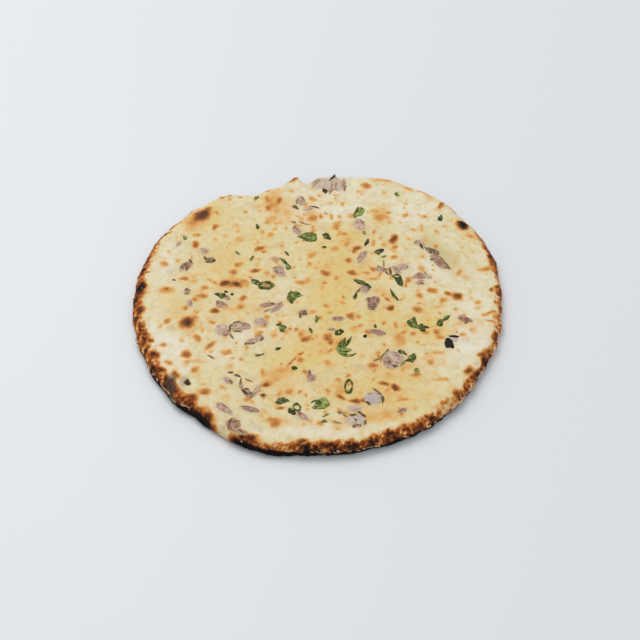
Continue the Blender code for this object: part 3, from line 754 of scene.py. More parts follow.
# %% Onion: (x, y, length, width, turn, tone: -1 lilac, 0 pale, 1 mauve, 1.4 dark)
ONION_ROWS = (
    (1.5, 99.5, 12, 7.5, 68, -0.3), (6.5, 97, 13, 6, 84, -0.2), (9.6, 95.6, 12, 2.4, 84, 0.45),
    (13, 97, 13, 5.5, 86, -0.2), (16.6, 97.4, 13, 2.4, 87, 0.4, 10, 0.3, 0.3),
    (-0.6, 101.5, 8, 2.4, 58, 0.5), (-9.9, 82, 10, 4.6, 95, 0.35, 0, 0.4, 0.2),
    (-5, 74.6, 6.5, 3.4, 25, 0.25, -30, 0.3, 0.3), (-11.6, 54.6, 9.5, 4.4, -64, 0.3),
    (24.8, 59, 11.5, 5.8, -72, 0.2), (-64.8, 37.3, 6, 5, -60, 0.3), (-61.3, 29.8, 6, 3.6, -12, 0.8),
    (-74.4, 24.6, 9.5, 5.2, 62, 0.9), (-21.3, 18.2, 9.5, 4.6, -38, 0.35),
    (-21, 22.5, 6, 3, -60, 0.25), (-23.5, 22, 3.5, 2, 0, 0.6), (-23.7, 29.8, 4.5, 3, 0, 0.5),
    (25.4, 31.2, 10, 4.6, 62, 0.35), (35.5, 20, 5, 5.5, 80, 0.5), (38, 18.6, 4.5, 3, 0, 0.7),
    (44.2, 19.2, 7.5, 3.2, -68, 0.5), (47.4, 21.8, 6.5, 5.4, 70, 0.3), (49.8, 20.5, 5, 2.4, 80, 0.3),
    (57.2, 14, 6.2, 5, 8, 0.65, 0, -0.4, -0.4), (56.6, 8.7, 5.2, 3.4, 20, 0.5),
    (62, 13, 3, 3.4, 0, 0.3), (53.6, 13.2, 3.6, 2.6, 60, 0.4), (59.2, 41.8, 6, 4.4, -45, 0.2),
    (65.6, 35.2, 9, 5.6, -60, 1.2), (66.5, 31.2, 3.4, 3, 0, 0.7), (68.6, 25.4, 13.5, 5.4, -52, 0.7),
    (71.6, 20.6, 5, 2.4, -60, 0.5), (-53.6, -6.8, 7.5, 3.2, -65, 0.75), (-51, -6.6, 6, 1.6, -52, 0.85),
    (-49.8, -1.6, 5.6, 2.4, -52, 0.8), (-28.2, -7.8, 8.5, 3.4, 14, 0.65, 0, 0.5, 0.1),
    (-22.2, -9.6, 10.5, 3.6, 60, 0.6), (29.9, -5.6, 7.6, 6.4, -85, 1.0, 0, -0.4, -0.4),
    (29.4, -10.4, 5.4, 4.8, 20, 1.2), (32.6, -6.8, 4.6, 2.4, -50, 0.9), (25.4, 3.6, 6, 5, -60, 0.35),
    (-50.8, -26.4, 10, 6.4, -60, 0.2), (-48.2, -29.6, 7.6, 5.6, -75, 0.45),
    (-41, -24.2, 10.5, 6.2, -8, 0.65),
    (-42, -23.8, 3, 2.4, 0, 0), (-31, -20.8, 7, 6.4, 0, 0.28), (-34.5, -35, 9, 3.4, 22, 0.2),
    (-30.8, -32.8, 4.4, 3.6, -40, 0.3), (-8.2, -14, 5.2, 4.2, 60, 0.9), (38.2, -49.4, 13, 9.8, -48, 0.5),
    (35.6, -50.6, 7.4, 3.6, -62, 0.85), (38.6, -48.6, 9, 2.4, -55, -0.2), (41.8, -50.4, 6, 2.6, -55, 0.2),
    (-3.9, -61.9, 6, 4.6, -25, 0.65), (-4.8, -58.6, 4.4, 2, 85, 1.0), (-46, -62.8, 6.5, 3.6, -40, 0.6),
    (-39, -67.5, 4, 2.4, -60, 0.6), (-31.6, -70, 10, 2.6, 62, 0.35), (-36, -71.2, 6, 3.6, -60, 0.5),
    (-47, -81.6, 12, 4, -48, 0.6, 0, 0.5, 0.5), (-41.8, -92, 9.5, 6.4, -80, 0.8),
    (-68.9, -65.6, 6.5, 1.6, -70, 0.0), (-37.5, -96.5, 7, 3, -30, 0.4),
    (-34.2, -82, 10, 4, -22, 0.75, 0, 0.5, 0.8), (-8.4, -86.9, 8.6, 3.4, -42, 0.5, 0, 0.1, 0.3),
    (26.8, -75.6, 9.6, 7, -58, -1.0), (17.5, -82.3, 8, 4.4, 5, 0.05), (19.2, -89.6, 6.5, 6, -70, -0.7),
    (15, -90, 5, 5, 0, -0.2), (18.3, -93.3, 4.6, 1.8, -5, 0.6),
    (-80.2, 43.8, 6, 1.8, 62, 0.6, 0, 0.5, 0.5),
    (-79, 45.4, 4.5, 2, 65, 0.2), (-72, 4.6, 3.4, 3, 90, 0.9, 0, 0, 0.8), (-72, 1.8, 3, 2.2, 0, 0.8),
    (-69.8, -6, 6, 3, -85, 0.5), (78.2, -21.2, 8, 4.6, -22, 0.9), (71.4, -35.8, 4, 3.4, 0, -0.4),
    (41, -84, 5, 3.2, 35, 0.7),
    (10.8, -19.2, 6, 3.6, 0, 0.6, 0, -0.4, -0.4), (7, -27.2, 4, 2.6, 0, 0.7), (31, -30, 9.5, 4, -10, 0.7),
)

ONION_PLUMP = (1.10, 1.18)  # length and width with the part that lies under the dough
ONIONS = tuple((x, y, length * ONION_PLUMP[0], width * ONION_PLUMP[1], *rest)
               for x, y, length, width, *rest in ONION_ROWS)

# %% Singed edges, threads, and painted shade of gaps and of the tear: (x, y, length, width, turn, tone: 0 olive, 0.5 brown, 1 black)
SINGED_EDGES_AND_GAP_SHADE = (
    (5.0, 91.6, 5.4, 3.6, 90, 0.95, 0, 0.2, 1.4), (8.6, 92, 7, 1.2, 80, 0.35),
    (17.2, 93.6, 6, 1.2, 84, 0.25),
    (4.6, 97, 9, 0.7, 70, 0.1), (0, 99, 9, 0.7, 56, 0.1), (11.8, 96.5, 8, 0.6, 84, 0.1),
    (-28.2, 6.8, 4.4, 1.8, 0, 0.3), (-29.4, 9, 4, 1.2, -14, 0.1), (-8.3, 84.2, 5.5, 1, -65, 0.45),
    (-11.8, 81.5, 5, 0.8, 80, 0.3),
    (-12.8, 76.4, 5.2, 3.2, -58, 0.55), (-1.5, 76.2, 7.5, 1.4, -20, 0.75, -70),
    (-13.2, 57.5, 4, 1.2, 65, 0.45),
    (-13.8, 62.2, 3.6, 1.6, -10, 0.2), (-8.9, 61.9, 3.2, 1.5, -35, 0.25), (-6, 60.6, 4, 0.7, -10, 0.2),
    (26.4, 62, 5.5, 1.1, -55, 0.45), (27.4, 51.6, 4, 1.8, -65, 0.2), (-63.6, 31, 4.5, 2, -78, 0.5),
    (-61.6, 28, 5, 1.4, -8, 0.45), (-58.9, 28.9, 2.8, 2.4, 60, 0.7), (-60.3, 31.2, 3.4, 0.9, 0, 0.3),
    (-72, 28.6, 4.4, 1.7, -62, 0.55), (-74.8, 25.6, 4.4, 1.5, 75, 0.5), (-73.7, 22.6, 4.2, 1.6, 80, 0.5),
    (-76.6, 23.8, 3.4, 1.2, 60, 0.4), (-80, 13, 2, 1.5, 0, 0.4), (-23, 18.8, 3.5, 1.2, -45, 0.35),
    (-24, 22.2, 3, 1.2, 0, 0.3), (27, 33.5, 5, 0.7, 68, 0.2), (23.6, 30.2, 4.5, 0.7, 60, 0.2),
    (40.8, 18.4, 8.5, 1.3, 88, 0.6), (38.8, 19.6, 4.2, 1.1, 0, 0.5), (38.9, 16.4, 3.4, 0.9, -60, 0.5),
    (37.4, 24.6, 6, 0.9, 88, 0.15), (34, 21.8, 3.6, 0.8, 80, 0.2), (44.6, 19.2, 5.5, 0.8, -66, 0.25),
    (50.6, 21.6, 3.4, 0.7, 80, 0.15), (41.8, 14.4, 3.4, 1.1, -40, 0.55), (60.4, 16.2, 5, 1, -58, 0.1),
    # The strokes from (59.7, 39) to (73.2, 21.5) follow the slit of the tear: painted shade of the slit,
    # with some singe.
    (57.4, 7.4, 3, 0.8, 0, 0.3), (56.9, 42.2, 4.2, 1.3, 70, 0.1, -60), (59.7, 39, 5.6, 1.7, -78, 0.6),
    (62.4, 37, 4.2, 0.9, -52, 0.4), (64.9, 36.2, 4.4, 1.2, -60, 0.55), (66.9, 34.2, 4, 1, -58, 0.5),
    (68.3, 24.2, 7, 0.9, -44, 0.4), (64.9, 27.6, 2, 1.6, 0, 0.5), (72.2, 25.5, 16, 1.6, -68, 0.35),
    (73.2, 21.5, 5, 0.9, -76, 0.6), (-24.7, -6.6, 2.6, 2.4, 0, 0.45), (-27.3, -12, 5, 1.2, 32, 0.2),
    (31, -9, 3.4, 1.4, 15, 0.45), (29.5, -12.3, 3.6, 1.2, -20, 0.4), (27.4, -9.4, 2.6, 1, 80, 0.35),
    (28, 4, 5, 1.4, 80, 0.3), (22.2, 2.4, 5, 1.6, 55, 0.4), (-43.4, -21.2, 6, 1.3, 12, 0.45, -60),
    (-46.4, -24.6, 6.5, 1.6, 80, 0.6, -50), (-43, -27.7, 6, 1.1, -6, 0.4), (-39, -22.6, 1.4, 1.2, 0, 0.3),
    (-45.9, -31.2, 5, 1.1, -60, 0.3), (-47.3, -27.4, 4, 0.9, 60, 0.4), (-28, -22.5, 4, 0.9, 62, 0.25),
    (-35.4, -36.9, 6.4, 0.9, 8, 0.3), (-38, -37.2, 1.6, 1.2, 0, 0.5), (-29.6, -33.9, 3.2, 1.3, 50, 0.45),
    (-31, -31.2, 3.6, 0.8, -20, 0.25), (-32.4, -33, 3, 0.8, -60, 0.2), (-31, -44.7, 5, 0.8, -5, 0.15),
    (-9.6, -16.2, 5.4, 1.2, 86, 0.45), (-7.2, -15.4, 3.2, 2.2, 20, 0.45),
    (33, -47.6, 8, 0.9, 62, 0.3, -40),
    (30, -49.5, 5, 1, 25, 0.3), (38.6, -54.4, 4, 1.4, -5, 0.55), (43.4, -52.6, 4.4, 1.6, 50, 0.15),
    (35.6, -43.6, 4, 0.9, 60, 0.35), (34.4, -53.4, 3.6, 0.8, -45, 0.2), (-45, -57, 2.6, 1.6, 0, 0.6),
    (-41.5, -59.2, 4.5, 1.5, -35, 0.5), (-44.6, -64, 3.6, 1.2, -50, 0.35), (-39.6, -64, 6, 1.2, 85, 0.4),
    (-35.5, -62.5, 5, 0.8, -30, 0.25), (-37, -71.2, 7, 1.7, -58, 0.65), (-34.1, -72.8, 5.6, 1.4, 75, 0.6),
    (-36.6, -68.9, 3.8, 1.4, -12, 0.6), (-28, -72.8, 3, 1.8, -20, 0.7), (-43.6, -91, 8, 1.2, 80, 0.5),
    (-40.4, -94, 6, 1, 60, 0.35), (-38, -96, 6, 1, -40, 0.4), (-41, -90.4, 5, 1, 20, 0.4),
    (29.4, -71.4, 7, 1.5, -50, 0.4, -20), (31.6, -76.4, 6.4, 1.4, -88, 0.5, -30),
    (24, -78.5, 4, 1.6, -50, 0.6), (10.2, -84.6, 2.4, 2.2, 0, 0.3), (12.6, -86.6, 4, 0.9, -40, 0.3),
    (16.6, -86.4, 5.2, 1.3, 8, 0.55), (20, -84.9, 1.6, 1.6, 0, 0.8), (21.4, -86.6, 4.6, 1.5, -52, 0.65),
    (17.4, -89.7, 1.7, 1.5, 0, 0.95), (22.4, -91.2, 4, 1.1, 86, 0.35), (16.8, -93.9, 1.6, 1, 0, 0.5),
    (20, -93, 1.4, 0.9, 0, 0.5), (8.5, -91.2, 4.5, 1.2, -25, 0.15), (-72, 4.6, 2.6, 1.6, 90, 0.3),
    (-72, 1.5, 2.4, 1, 0, 0.25), (79.3, -23.2, 3.6, 1.8, 50, 0.4), (-55.8, -45.8, 5.5, 1.1, -32, 0.25),
    # Black in the small hole by the burnt blister: char, and painted shade of the hole.
    (-66.6, -63.2, 6.5, 2.6, -74, 1.0),
)

# %% Leaves and strips: (x, y, length, width, turn, brightness: below 0 burnt, 1 fresh green; a few light lobes are painted highlights)
HERBS = (
    (-5.3, 49, 10.6, 10.4, 0, 0.6, 0, 0.9, 0), (5.2, 49.6, 6.5, 4.2, -60, 0.35),
    (6.8, 47.3, 3, 2.6, 0, 0.05),
    (24.9, 70.3, 10.8, 5.6, 68, 0.75, 0, 0.7, 0.1), (23.9, 72.3, 6, 1.6, 75, 0.1),
    (28.7, 43.6, 7, 2.4, 75, 0.02, 0, 0.3, 0.6), (35.3, 35.4, 5.6, 4.4, 30, 0.35, 0, 0.5, 0),
    (36.9, 36.6, 2.8, 2.6, 45, 0.02), (34.8, 33.6, 3.2, 2, -80, 0.45, 0, 0, 0.5),
    (-18.9, 27.6, 7.5, 2, -58, 0.2), (-16.4, 23.2, 5.5, 3, -72, 0.5), (-17.3, 34.5, 4.5, 1.6, -60, 0.15),
    (-34.6, 11.9, 6, 2.4, -22, 0.35, 0, 0.2, 0.4), (-34.9, 9.9, 5, 1.6, -40, 0.5),
    (-54.6, 1.4, 4.6, 2.4, 5, 0.1), (-52.7, 0.3, 5, 3.8, -35, 0.3), (-50.6, 3, 2.2, 1.8, 0, 0.02),
    (-47.1, 1, 2.2, 1.9, 0, 0.08), (-52.4, -1.4, 2.6, 2, 0, 0.35),
    (-15.2, -2.3, 10.8, 3.2, -84, 0.3, 60, 0.2, 0.8), (-12, 0.4, 8, 4.6, -8, 0.5, 0, 0.1, 0.8),
    (-13.6, -2.4, 5, 3.4, -60, 0.7), (24.6, 8.8, 11, 4, -38, 0.12, 0, 0.5, 0.1),
    # (24.4, 9.2): a narrow light lobe on the dark leaf above, a painted highlight.
    (24.4, 9.2, 6, 1.6, -38, 0.4), (20.5, -1.8, 5.5, 2.2, 82, 0.05),
    (45.9, 9.8, 10.5, 2.8, -87, 0.1, 0, 0.1, 0.5), (43.6, 12.6, 5.5, 1.3, -35, 0.08),
    (44, 9.8, 7, 1.2, -68, 0.1), (44.3, 14.9, 4, 1.2, 0, 0.1), (-20.8, -23.2, 4, 2.2, -10, 0.15),
    (-19, -25.2, 5, 3.6, -60, 0.55), (-19.2, -27.6, 3, 2.4, -80, 0.4),
    (12, -38.3, 10, 3.4, 68, 0.45, 0, 0.2, 0.5), (15.2, -37.2, 9, 2.6, 60, 0.4, 0, 0.3, 0.8),
    (13.2, -44.6, 13, 3, -30, 0.7, 125, 0.4, 0.4), (14, -42.5, 6, 4, -20, 1.0),
    (50.3, -22.6, 6.5, 5, -80, 0.4), (51.2, -21.4, 7, 2.6, 80, 0.3, 0, 0.3, 0.6),
    (51.5, -25.3, 7.5, 3.4, -30, 0.5), (56, -25.8, 5.4, 2.8, -15, 0.3),
    (55.3, -27.9, 4.4, 2.6, -40, 0.25),
    (54.6, -24.4, 3, 1.6, 30, 0.3), (64.9, -23.3, 7, 3.2, 78, 0.3, 0, 0.5, 0.2),
    (67.7, -20.3, 8.2, 3, 38, 0.35, 0, 0.1, 0.5), (42.9, -44.2, 4.2, 3.2, 70, 0.5),
    (44.8, -45.5, 3.8, 1.2, -60, 0.05), (48.3, -48.9, 7.2, 4.4, 85, 0.5, 0, 0.4, 0.5),
    (46.6, -50.6, 3.8, 2.6, 20, 0.15), (50, -57.7, 3.6, 2.8, 5, 0.95),
    (-18, -76.3, 8, 3.4, -6, 0.4, 0, 0.3, 0.7),
    (-20.3, -77.9, 3.4, 1.8, -20, 0.08), (-18.3, -75.2, 3, 2.2, 60, 0.35),
    (-13.8, -83.2, 4.4, 3.4, -30, 0.25),
    (-12.6, -85, 3, 2.4, -50, 0.02), (1.4, -79, 8.2, 7.8, 0, 0.9, 0, 0, 0.1),
    (-0.2, -78.3, 3.6, 3.4, 0, 0.35),
    (-2.7, -77.4, 3.4, 1.2, 40, 0.2), (-2, -81.5, 3, 2, 0, 0.4), (15.2, -71.4, 2.6, 2.2, 0, 0.1),
    (68.2, -38.6, 5.6, 6.6, 10, -0.2, 0, -0.2, -0.2), (71.2, -33.8, 6.4, 2, -12, -0.15),
    (69.6, -41.4, 2.6, 2, 0, -0.1),
    (41.8, -1.6, 9.5, 2.4, -68, 0.25, 0, 0.6, 0.6), (40.4, 2.2, 3.4, 0.9, -80, 0.1),
    (-0.8, -19, 6.5, 1.8, 84, 0.5), (-4, -27.5, 5, 1.8, -62, 0.6), (-12.5, -54.5, 3.6, 2.6, -60, 0.03),
    (-76.8, 49, 4.6, 2.6, -60, 0.75), (24.6, -32.7, 2.4, 2, 0, -0.2), (30.3, -25.5, 3.4, 1.6, -75, 0.2),
    (73, 64, 5.6, 3.4, 85, 0.25), (4, 39.5, 2.8, 2.2, 0, 0.2), (-37.5, 31, 6, 1.4, 68, 0.45),
    (3.2, -86.5, 4.6, 1, 35, 0.6), (2.2, -90.4, 3, 2.4, 0, 0.75), (-36.5, 86, 4.6, 2.4, 60, 0.6),
    (48.7, 87.2, 5, 2.6, -65, 0.6), (-35, 59, 5.6, 1.8, -74, 0.18), (-21.2, -40.7, 3.4, 2, 40, 0.1),
    (-30.5, -45.2, 5.5, 0.9, 20, 0.1, 60), (-45.5, 35.5, 4.6, 1.4, -50, 0.6, 20),
    (38, 31, 4, 1.2, 30, 0.6),
)

# %% Cut chilli rings: (x, y, length, width, turn, wall, brightness)
CHILLI_RINGS = (
    (-28.7, 8.1, 8.8, 7.2, -14.0, 1.7, 0.4), (15.0, -67.4, 9.4, 4.8, 84.0, 1.2, 0.3),
    (-11.0, -81.2, 6.0, 4.4, -75.0, 1.1, 0.25),
    (11.0, -29.5, 5.0, 4.0, 60.0, 1.5, 0.08),
)
print(len(ONIONS), "onion lobes,", len(SINGED_EDGES_AND_GAP_SHADE), "singed edges,", len(HERBS), "leaf lobes")

# %% Pieces that only show through the skin of the dough, and thin dark lines in it: singed threads and painted crease shade
FAINT_ONIONS = (  # x, y, length, width, turn, how strongly it shows
    (-37.0, 76.5, 6.0, 5.0, 80.0, 0.8), (-82.0, 20.0, 8.0, 5.0, 90.0, 0.6),
    (-22.0, 41.0, 6.0, 4.0, 10.0, 0.7), (-24.0, 30.0, 7.0, 3.4, 0.0, 0.7),
    (77.0, -36.0, 7.0, 4.4, 80.0, 0.6), (23.0, -55.0, 8.0, 3.4, -40.0, 0.6),
    (-90.0, -6.0, 6.0, 3.0, 80.0, 0.5), (26.0, 25.0, 5.0, 4.0, 0.0, 0.6),
    (78.0, 29.0, 6.0, 4.0, 60.0, 0.5), (-31.0, -93.0, 8.0, 3.0, -50.0, 0.6),
    (-33.0, -61.0, 6.0, 3.0, -30.0, 0.6), (13.0, 88.0, 6.0, 4.0, 80.0, 0.4),
    (-68.0, -30.0, 3.0, 2.0, 0.0, 0.7), (-77.0, -23.5, 4.5, 2.0, -65.0, 0.9),
    (-3.0, 72.0, 9.0, 4.0, -20.0, 0.4), (63.0, 12.5, 4.0, 4.0, 0.0, 0.5),
    (20.0, 42.5, 4.0, 2.0, -40.0, 0.7), (45.0, -69.0, 4.0, 2.0, 0.0, 0.4),
    (2.0, 57.0, 8.0, 4.0, -35.0, 0.4), (-15.5, -28.0, 4.0, 3.0, 0.0, 0.5),
)
THREADS_AND_CREASE_SHADE = (  # x, y, length, width, turn, how dark
    (3.5, 66.5, 9.0, 0.9, 88.0, 0.6), (-16.0, 70.0, 9.0, 1.2, 0.0, 0.55),
    (-61.5, 12.2, 5.0, 1.2, 0.0, 0.6), (-44.5, -47.5, 4.5, 1.1, -8.0, 0.7),
    (53.5, 35.8, 2.4, 2.0, 60.0, 0.6), (-16.0, 43.8, 3.4, 2.2, 50.0, 0.6),
    (56.0, 80.0, 4.4, 2.6, 80.0, 0.5), (37.0, 96.5, 4.0, 2.6, 60.0, 0.6),
    (43.5, 95.0, 4.0, 2.4, 50.0, 0.55), (-44.5, -52.5, 3.0, 1.4, -20.0, 0.5),
    (57.5, -53.0, 6.0, 2.2, -50.0, 0.6), (71.8, -52.5, 3.4, 1.8, 45.0, 0.55),
    (-2.3, -70.0, 3.2, 2.2, 20.0, 0.6), (3.5, 34.3, 3.0, 2.4, 40.0, 0.55),
    (-69.4, 51.0, 5.0, 2.6, 40.0, 0.5), (-61.0, 50.8, 4.0, 2.4, 80.0, 0.5),
    (61.9, 76.7, 4.0, 3.0, 60.0, 0.5),
)
print(len(FAINT_ONIONS), "faint pieces and", len(THREADS_AND_CREASE_SHADE), "threads")

# %% [markdown]
# ## Openings and the finest relief of the top
#
# At the right a tear has opened over the onion, steep on its left side and sloping on its
# right. By the burnt blister at the front left there is a small hole. A Boolean cut would leave
# both with hard edges, so the height of the dough is lowered there instead. The top between them
# isn't smooth either: the dough keeps shallow finger dimples and tiny blisters, and it rises in a
# low collar round each piece of onion, because the piece was pressed in while the dough was soft.

# %% Tears, collars and fine relief
TEARS = (  # x, y, length, width, turn, depth
    (68.3, 32.5, 34.0, 2.6, -60.0, 2.0),
    (-67.3, -63.2, 7.0, 2.6, -68.0, 2.6),
)
TEAR_SLOPES = (3.2, 1.2)  # how much wider the far side of each tear is
TEAR_FADE = 0.8
FINE_SWELLS = ((7.0, 0.16, 71), (3.4, 0.08, 72), (1.9, 0.04, 73))  # cell, height, seed
COLLAR_HEIGHT = 0.28
COLLAR_WIDTH = 1.6


def tear_depth(x, y):
    """How far each opening goes down into the dough."""
    depth = np.zeros_like(x)
    for tear, slope in zip(TEARS, TEAR_SLOPES):
        along, across = along_and_across(x, y, tear)
        across = np.where(across > 0.0, across / slope, across)
        ends = np.clip(1.0 - along**4, 0.0, 1.0)
        depth = np.maximum(depth, tear[5] * ends * np.exp(-TEAR_FADE * across**2))
    return depth


def grown(rows, margin, strength):
    """The same ovals with a margin round them, all of one strength."""
    return [(row[0], row[1], row[2] + margin, row[3] + margin, row[4], strength) for row in rows]


def fine_swells(x, y):
    return layered_noise(x, y, FINE_SWELLS)


def fine_relief(x, y):
    """What the fine mesh adds to the height of the solid's top."""
    collars = highest(x, y, grown(ONIONS, COLLAR_WIDTH, COLLAR_HEIGHT))
    return fine_swells(x, y) + collars - tear_depth(x, y)


# %% [markdown]
# ## The bread's mesh
#
# A fine even grid could be cut to the outline, but it would be too coarse for the crags of the
# side and wasteful where the dough is smooth. The solid is made of rings, and so is this mesh,
# only finer: half a millimetre round the side and under a millimetre on the soft top. Rings
# nearer the middle have fewer points, so the faces stay nearly square. The underside is flat,
# where the bread lies.

# %% Rings from the underside to the middle of the top
SIDE_SECTORS = 1296
FOOT_STEPS = 9
SHOULDER_STEPS = 18
TOP_PITCH = 0.8
BASE_PITCH = 2.4
HALVE_BELOW = (1.0, 0.52, 0.26, 0.13)
BASE_HALVE_BELOW = (1.0, 0.96, 0.5, 0.25)
MIDDLE_GAP = 1.6
FACING_DOWN, FACING_OUT, FACING_UP = -90.0, 0.0, 90.0


def ring_angles(sectors):
    return np.arange(sectors) * 2.0 * np.pi / sectors


def circle(sectors):
    angle = ring_angles(sectors)
    return np.column_stack([np.cos(angle), np.sin(angle)])


def side_ring(slope):
    """A ring round the side, at a slope from -90 (foot) through 0 (widest) to 90 (top)."""
    cos = np.cos(np.radians(slope))
    sin = np.sin(np.radians(slope))
    inset = RIM_WIDTH if slope > 0 else TUCK
    reach = outline(ring_angles(SIDE_SECTORS)) - inset * (1.0 - cos)
    place = circle(SIDE_SECTORS) * reach[:, None]
    x, y = place.T
    if slope > 0:
        height = GIRTH_HEIGHT + (plateau(x, y) + fine_relief(x, y) - GIRTH_HEIGHT) * sin
    else:
        height = np.full(SIDE_SECTORS, GIRTH_HEIGHT * (1.0 + sin))
    out = crags(x, y, height) * cos
    return np.column_stack([place + circle(SIDE_SECTORS) * out[:, None], height])


def inner_rings(border, pitch, halve_below, height):
    """Rings from a border (how far it lies inside the outline) to the middle."""
    rings = []
    shoulder = HALF_WIDTH - border
    for radius in np.arange(shoulder - pitch, MIDDLE_GAP, -pitch):
        share = radius / shoulder
        halvings = sum(share < limit for limit in halve_below)
        sectors = SIDE_SECTORS // 2**halvings
        place = circle(sectors) * ((outline(ring_angles(sectors)) - border) * share)[:, None]
        rings.append(np.column_stack([place, height(*place.T)]))
    return rings


# %% Rings joined into faces
def joined(outer_start, outer_count, inner_start, inner_count):
    """Faces between a ring and the next one in, which has as many points or half as many."""
    here = np.arange(outer_count)
    there = (here + 1) % outer_count
    if inner_count == outer_count:
        quads = [outer_start + here, outer_start + there, inner_start + there, inner_start + here]
        return np.column_stack(quads).tolist()
    even, odd = here[::2], here[1::2]
    behind = inner_start + even // 2
    ahead = inner_start + (even // 2 + 1) % inner_count
    faces = np.column_stack([outer_start + even, outer_start + odd, behind]).tolist()
    faces += np.column_stack([outer_start + odd, ahead, behind]).tolist()
    faces += np.column_stack([outer_start + odd, outer_start + there[1::2], ahead]).tolist()
    return faces


def bread_rings():
    """All rings in order, from the middle of the underside round to the middle of the top."""
    base = inner_rings(TUCK, BASE_PITCH, BASE_HALVE_BELOW, lambda x, y: np.zeros_like(x))
    foot = [side_ring(slope) for slope in np.linspace(FACING_DOWN, FACING_OUT, FOOT_STEPS)]
    shoulder = [side_ring(slope) for slope in np.linspace(FACING_OUT, FACING_UP, SHOULDER_STEPS)]
    top = inner_rings(RIM_WIDTH, TOP_PITCH, HALVE_BELOW,
                      lambda x, y: plateau(x, y) + fine_relief(x, y))
    slopes = [FACING_DOWN] * len(base)
    slopes += np.linspace(FACING_DOWN, FACING_OUT, FOOT_STEPS).tolist()
    slopes += np.linspace(FACING_OUT, FACING_UP, SHOULDER_STEPS).tolist()[1:]
    slopes += [FACING_UP] * len(top)
    return base[::-1] + foot + shoulder[1:] + top, slopes


def bread_shape():
    rings, slopes = bread_rings()
    counts = [len(ring) for ring in rings]
    starts = np.cumsum([0] + counts)
    faces = []
    for ring, (outer, inner) in enumerate(zip(counts, counts[1:])):
        if inner > outer:
            turned = joined(starts[ring + 1], inner, starts[ring], outer)
            faces += [face[::-1] for face in turned]
        else:
            faces += joined(starts[ring], outer, starts[ring + 1], inner)
    points = np.concatenate(rings)
    middle_top = float(plateau(0.0, 0.0))
    points = np.concatenate([points, [[0.0, 0.0, 0.0], [0.0, 0.0, middle_top]]])
    low, high = len(points) - 2, len(points) - 1
    for place in range(counts[0]):
        faces.append((place, low, (place + 1) % counts[0]))
    for place in range(counts[-1]):
        ahead = (place + 1) % counts[-1]
        faces.append((starts[-2] + place, starts[-2] + ahead, high))
    slope = np.concatenate([np.repeat(slopes, counts), [FACING_DOWN, FACING_UP]])
    return points, faces, slope


# %% Make an object from points and faces
def add_piece(name, points, faces, finish, painted):
    """A smooth mesh in metres that carries numbers at its points."""
    mesh = bpy.data.meshes.new(name)
    mesh.from_pydata((np.asarray(points) * MM).tolist(), [], faces)
    for field, values in painted.items():
        values = np.asarray(values, dtype=np.float32)
        kind = "FLOAT" if values.ndim == 1 else "FLOAT_VECTOR"
        attribute = mesh.attributes.new(field, kind, "POINT")
        attribute.data.foreach_set("value" if kind == "FLOAT" else "vector", values.ravel())
    mesh.materials.append(finish)
    mesh.shade_smooth()
    mesh.update()
    piece = bpy.data.objects.new(name, mesh)
    scene.collection.objects.link(piece)
    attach(piece, "root")
    return piece


bread_points, bread_faces, bread_slope = bread_shape()
print(len(bread_points), "points and", len(bread_faces), "faces in the bread")

# %% [markdown]
# ## Painting the bread's points
#
# Now every cause of colour becomes one number at each point of the mesh: toast (which on the front
# wall also paints its shade), butter, flour, onion stain, thin dark lines that are singed threads
# and painted crease shade, the painted shade beside the tear, ash on the burnt blister, and the
# pale flakes of the rim. An image could hold them too, but then the bread would have to be
# unwrapped first. The points are close enough together to carry them, and the finish reads them,
# so they stay with the bread whatever way it is turned.

# %% Granules of the rim
GRANULES = ((2.2, 0.6, 5), (1.1, 0.4, 6))  # cell, share, seed


def granules(points):
    """Coarse and fine bubbles together, from 0 in the valleys to 1 on top."""
    return sum(share * bubbles(points, cell, seed) for cell, share, seed in GRANULES)


bread_froth = granules(bread_points)
print("granules: mean height", bread_froth.mean().round(2))

# %% Toast
UNDERSIDE_SPOTS = 70
UNDERSIDE_SEED = 97
UNDERSIDE_FIELD = 92.0
UNDERSIDE_LENGTHS = (4.0, 14.0)
UNDERSIDE_WIDTHS = (0.6, 1.0)  # shares of the length
UNDERSIDE_GOLD = 0.20
UNDERSIDE_TOAST = (0.45, 0.98)
UNDERSIDE_MOTTLE = ((14.0, 0.10, 91), (5.0, 0.07, 92))  # cell, toast, seed
TOP_MOTTLE = ((8.0, 0.12, 51), (3.6, 0.12, 52))
SPECK_ON_GOLD = 0.4  # how much of the weaker one shows where two overlap
SPOT_ON_GOLD = 0.35
BAND_CONTRAST = 1.25
WALL_CONTRAST = 0.6
CLUMPS = (4.6, 0.40, 33)  # cell, how much darker or paler, seed
WALL_BLEND = 10.0
BURNT_VALLEYS = 0.86  # how much of its toast a burnt place has between the bubbles
BURNT_DOMES = 0.28  # and how much more on top of them
RAW_FOOT = -40.0  # slope below which a raw place of the rim is browned after all
RAW_LOST = 0.8


def underside_toast(x, y):
    """The side that stuck to the oven wall: an even pale gold with dark round blisters."""
    draws = np.random.default_rng(UNDERSIDE_SEED)
    toast = UNDERSIDE_GOLD + layered_noise(x, y, UNDERSIDE_MOTTLE)
    for _ in range(UNDERSIDE_SPOTS):
        place_x, place_y = draws.uniform(-UNDERSIDE_FIELD, UNDERSIDE_FIELD, 2)
        length = draws.uniform(*UNDERSIDE_LENGTHS)
        width = length * draws.uniform(*UNDERSIDE_WIDTHS)
        place = (place_x, place_y, length, width, draws.uniform(0, 180))
        toast = np.maximum(toast, draws.uniform(*UNDERSIDE_TOAST) * oval(x, y, place))
    return toast


def both(first, second, share):
    """The stronger of two causes of toast, and a share of the weaker one."""
    return np.maximum(first, second) + share * np.minimum(first, second)


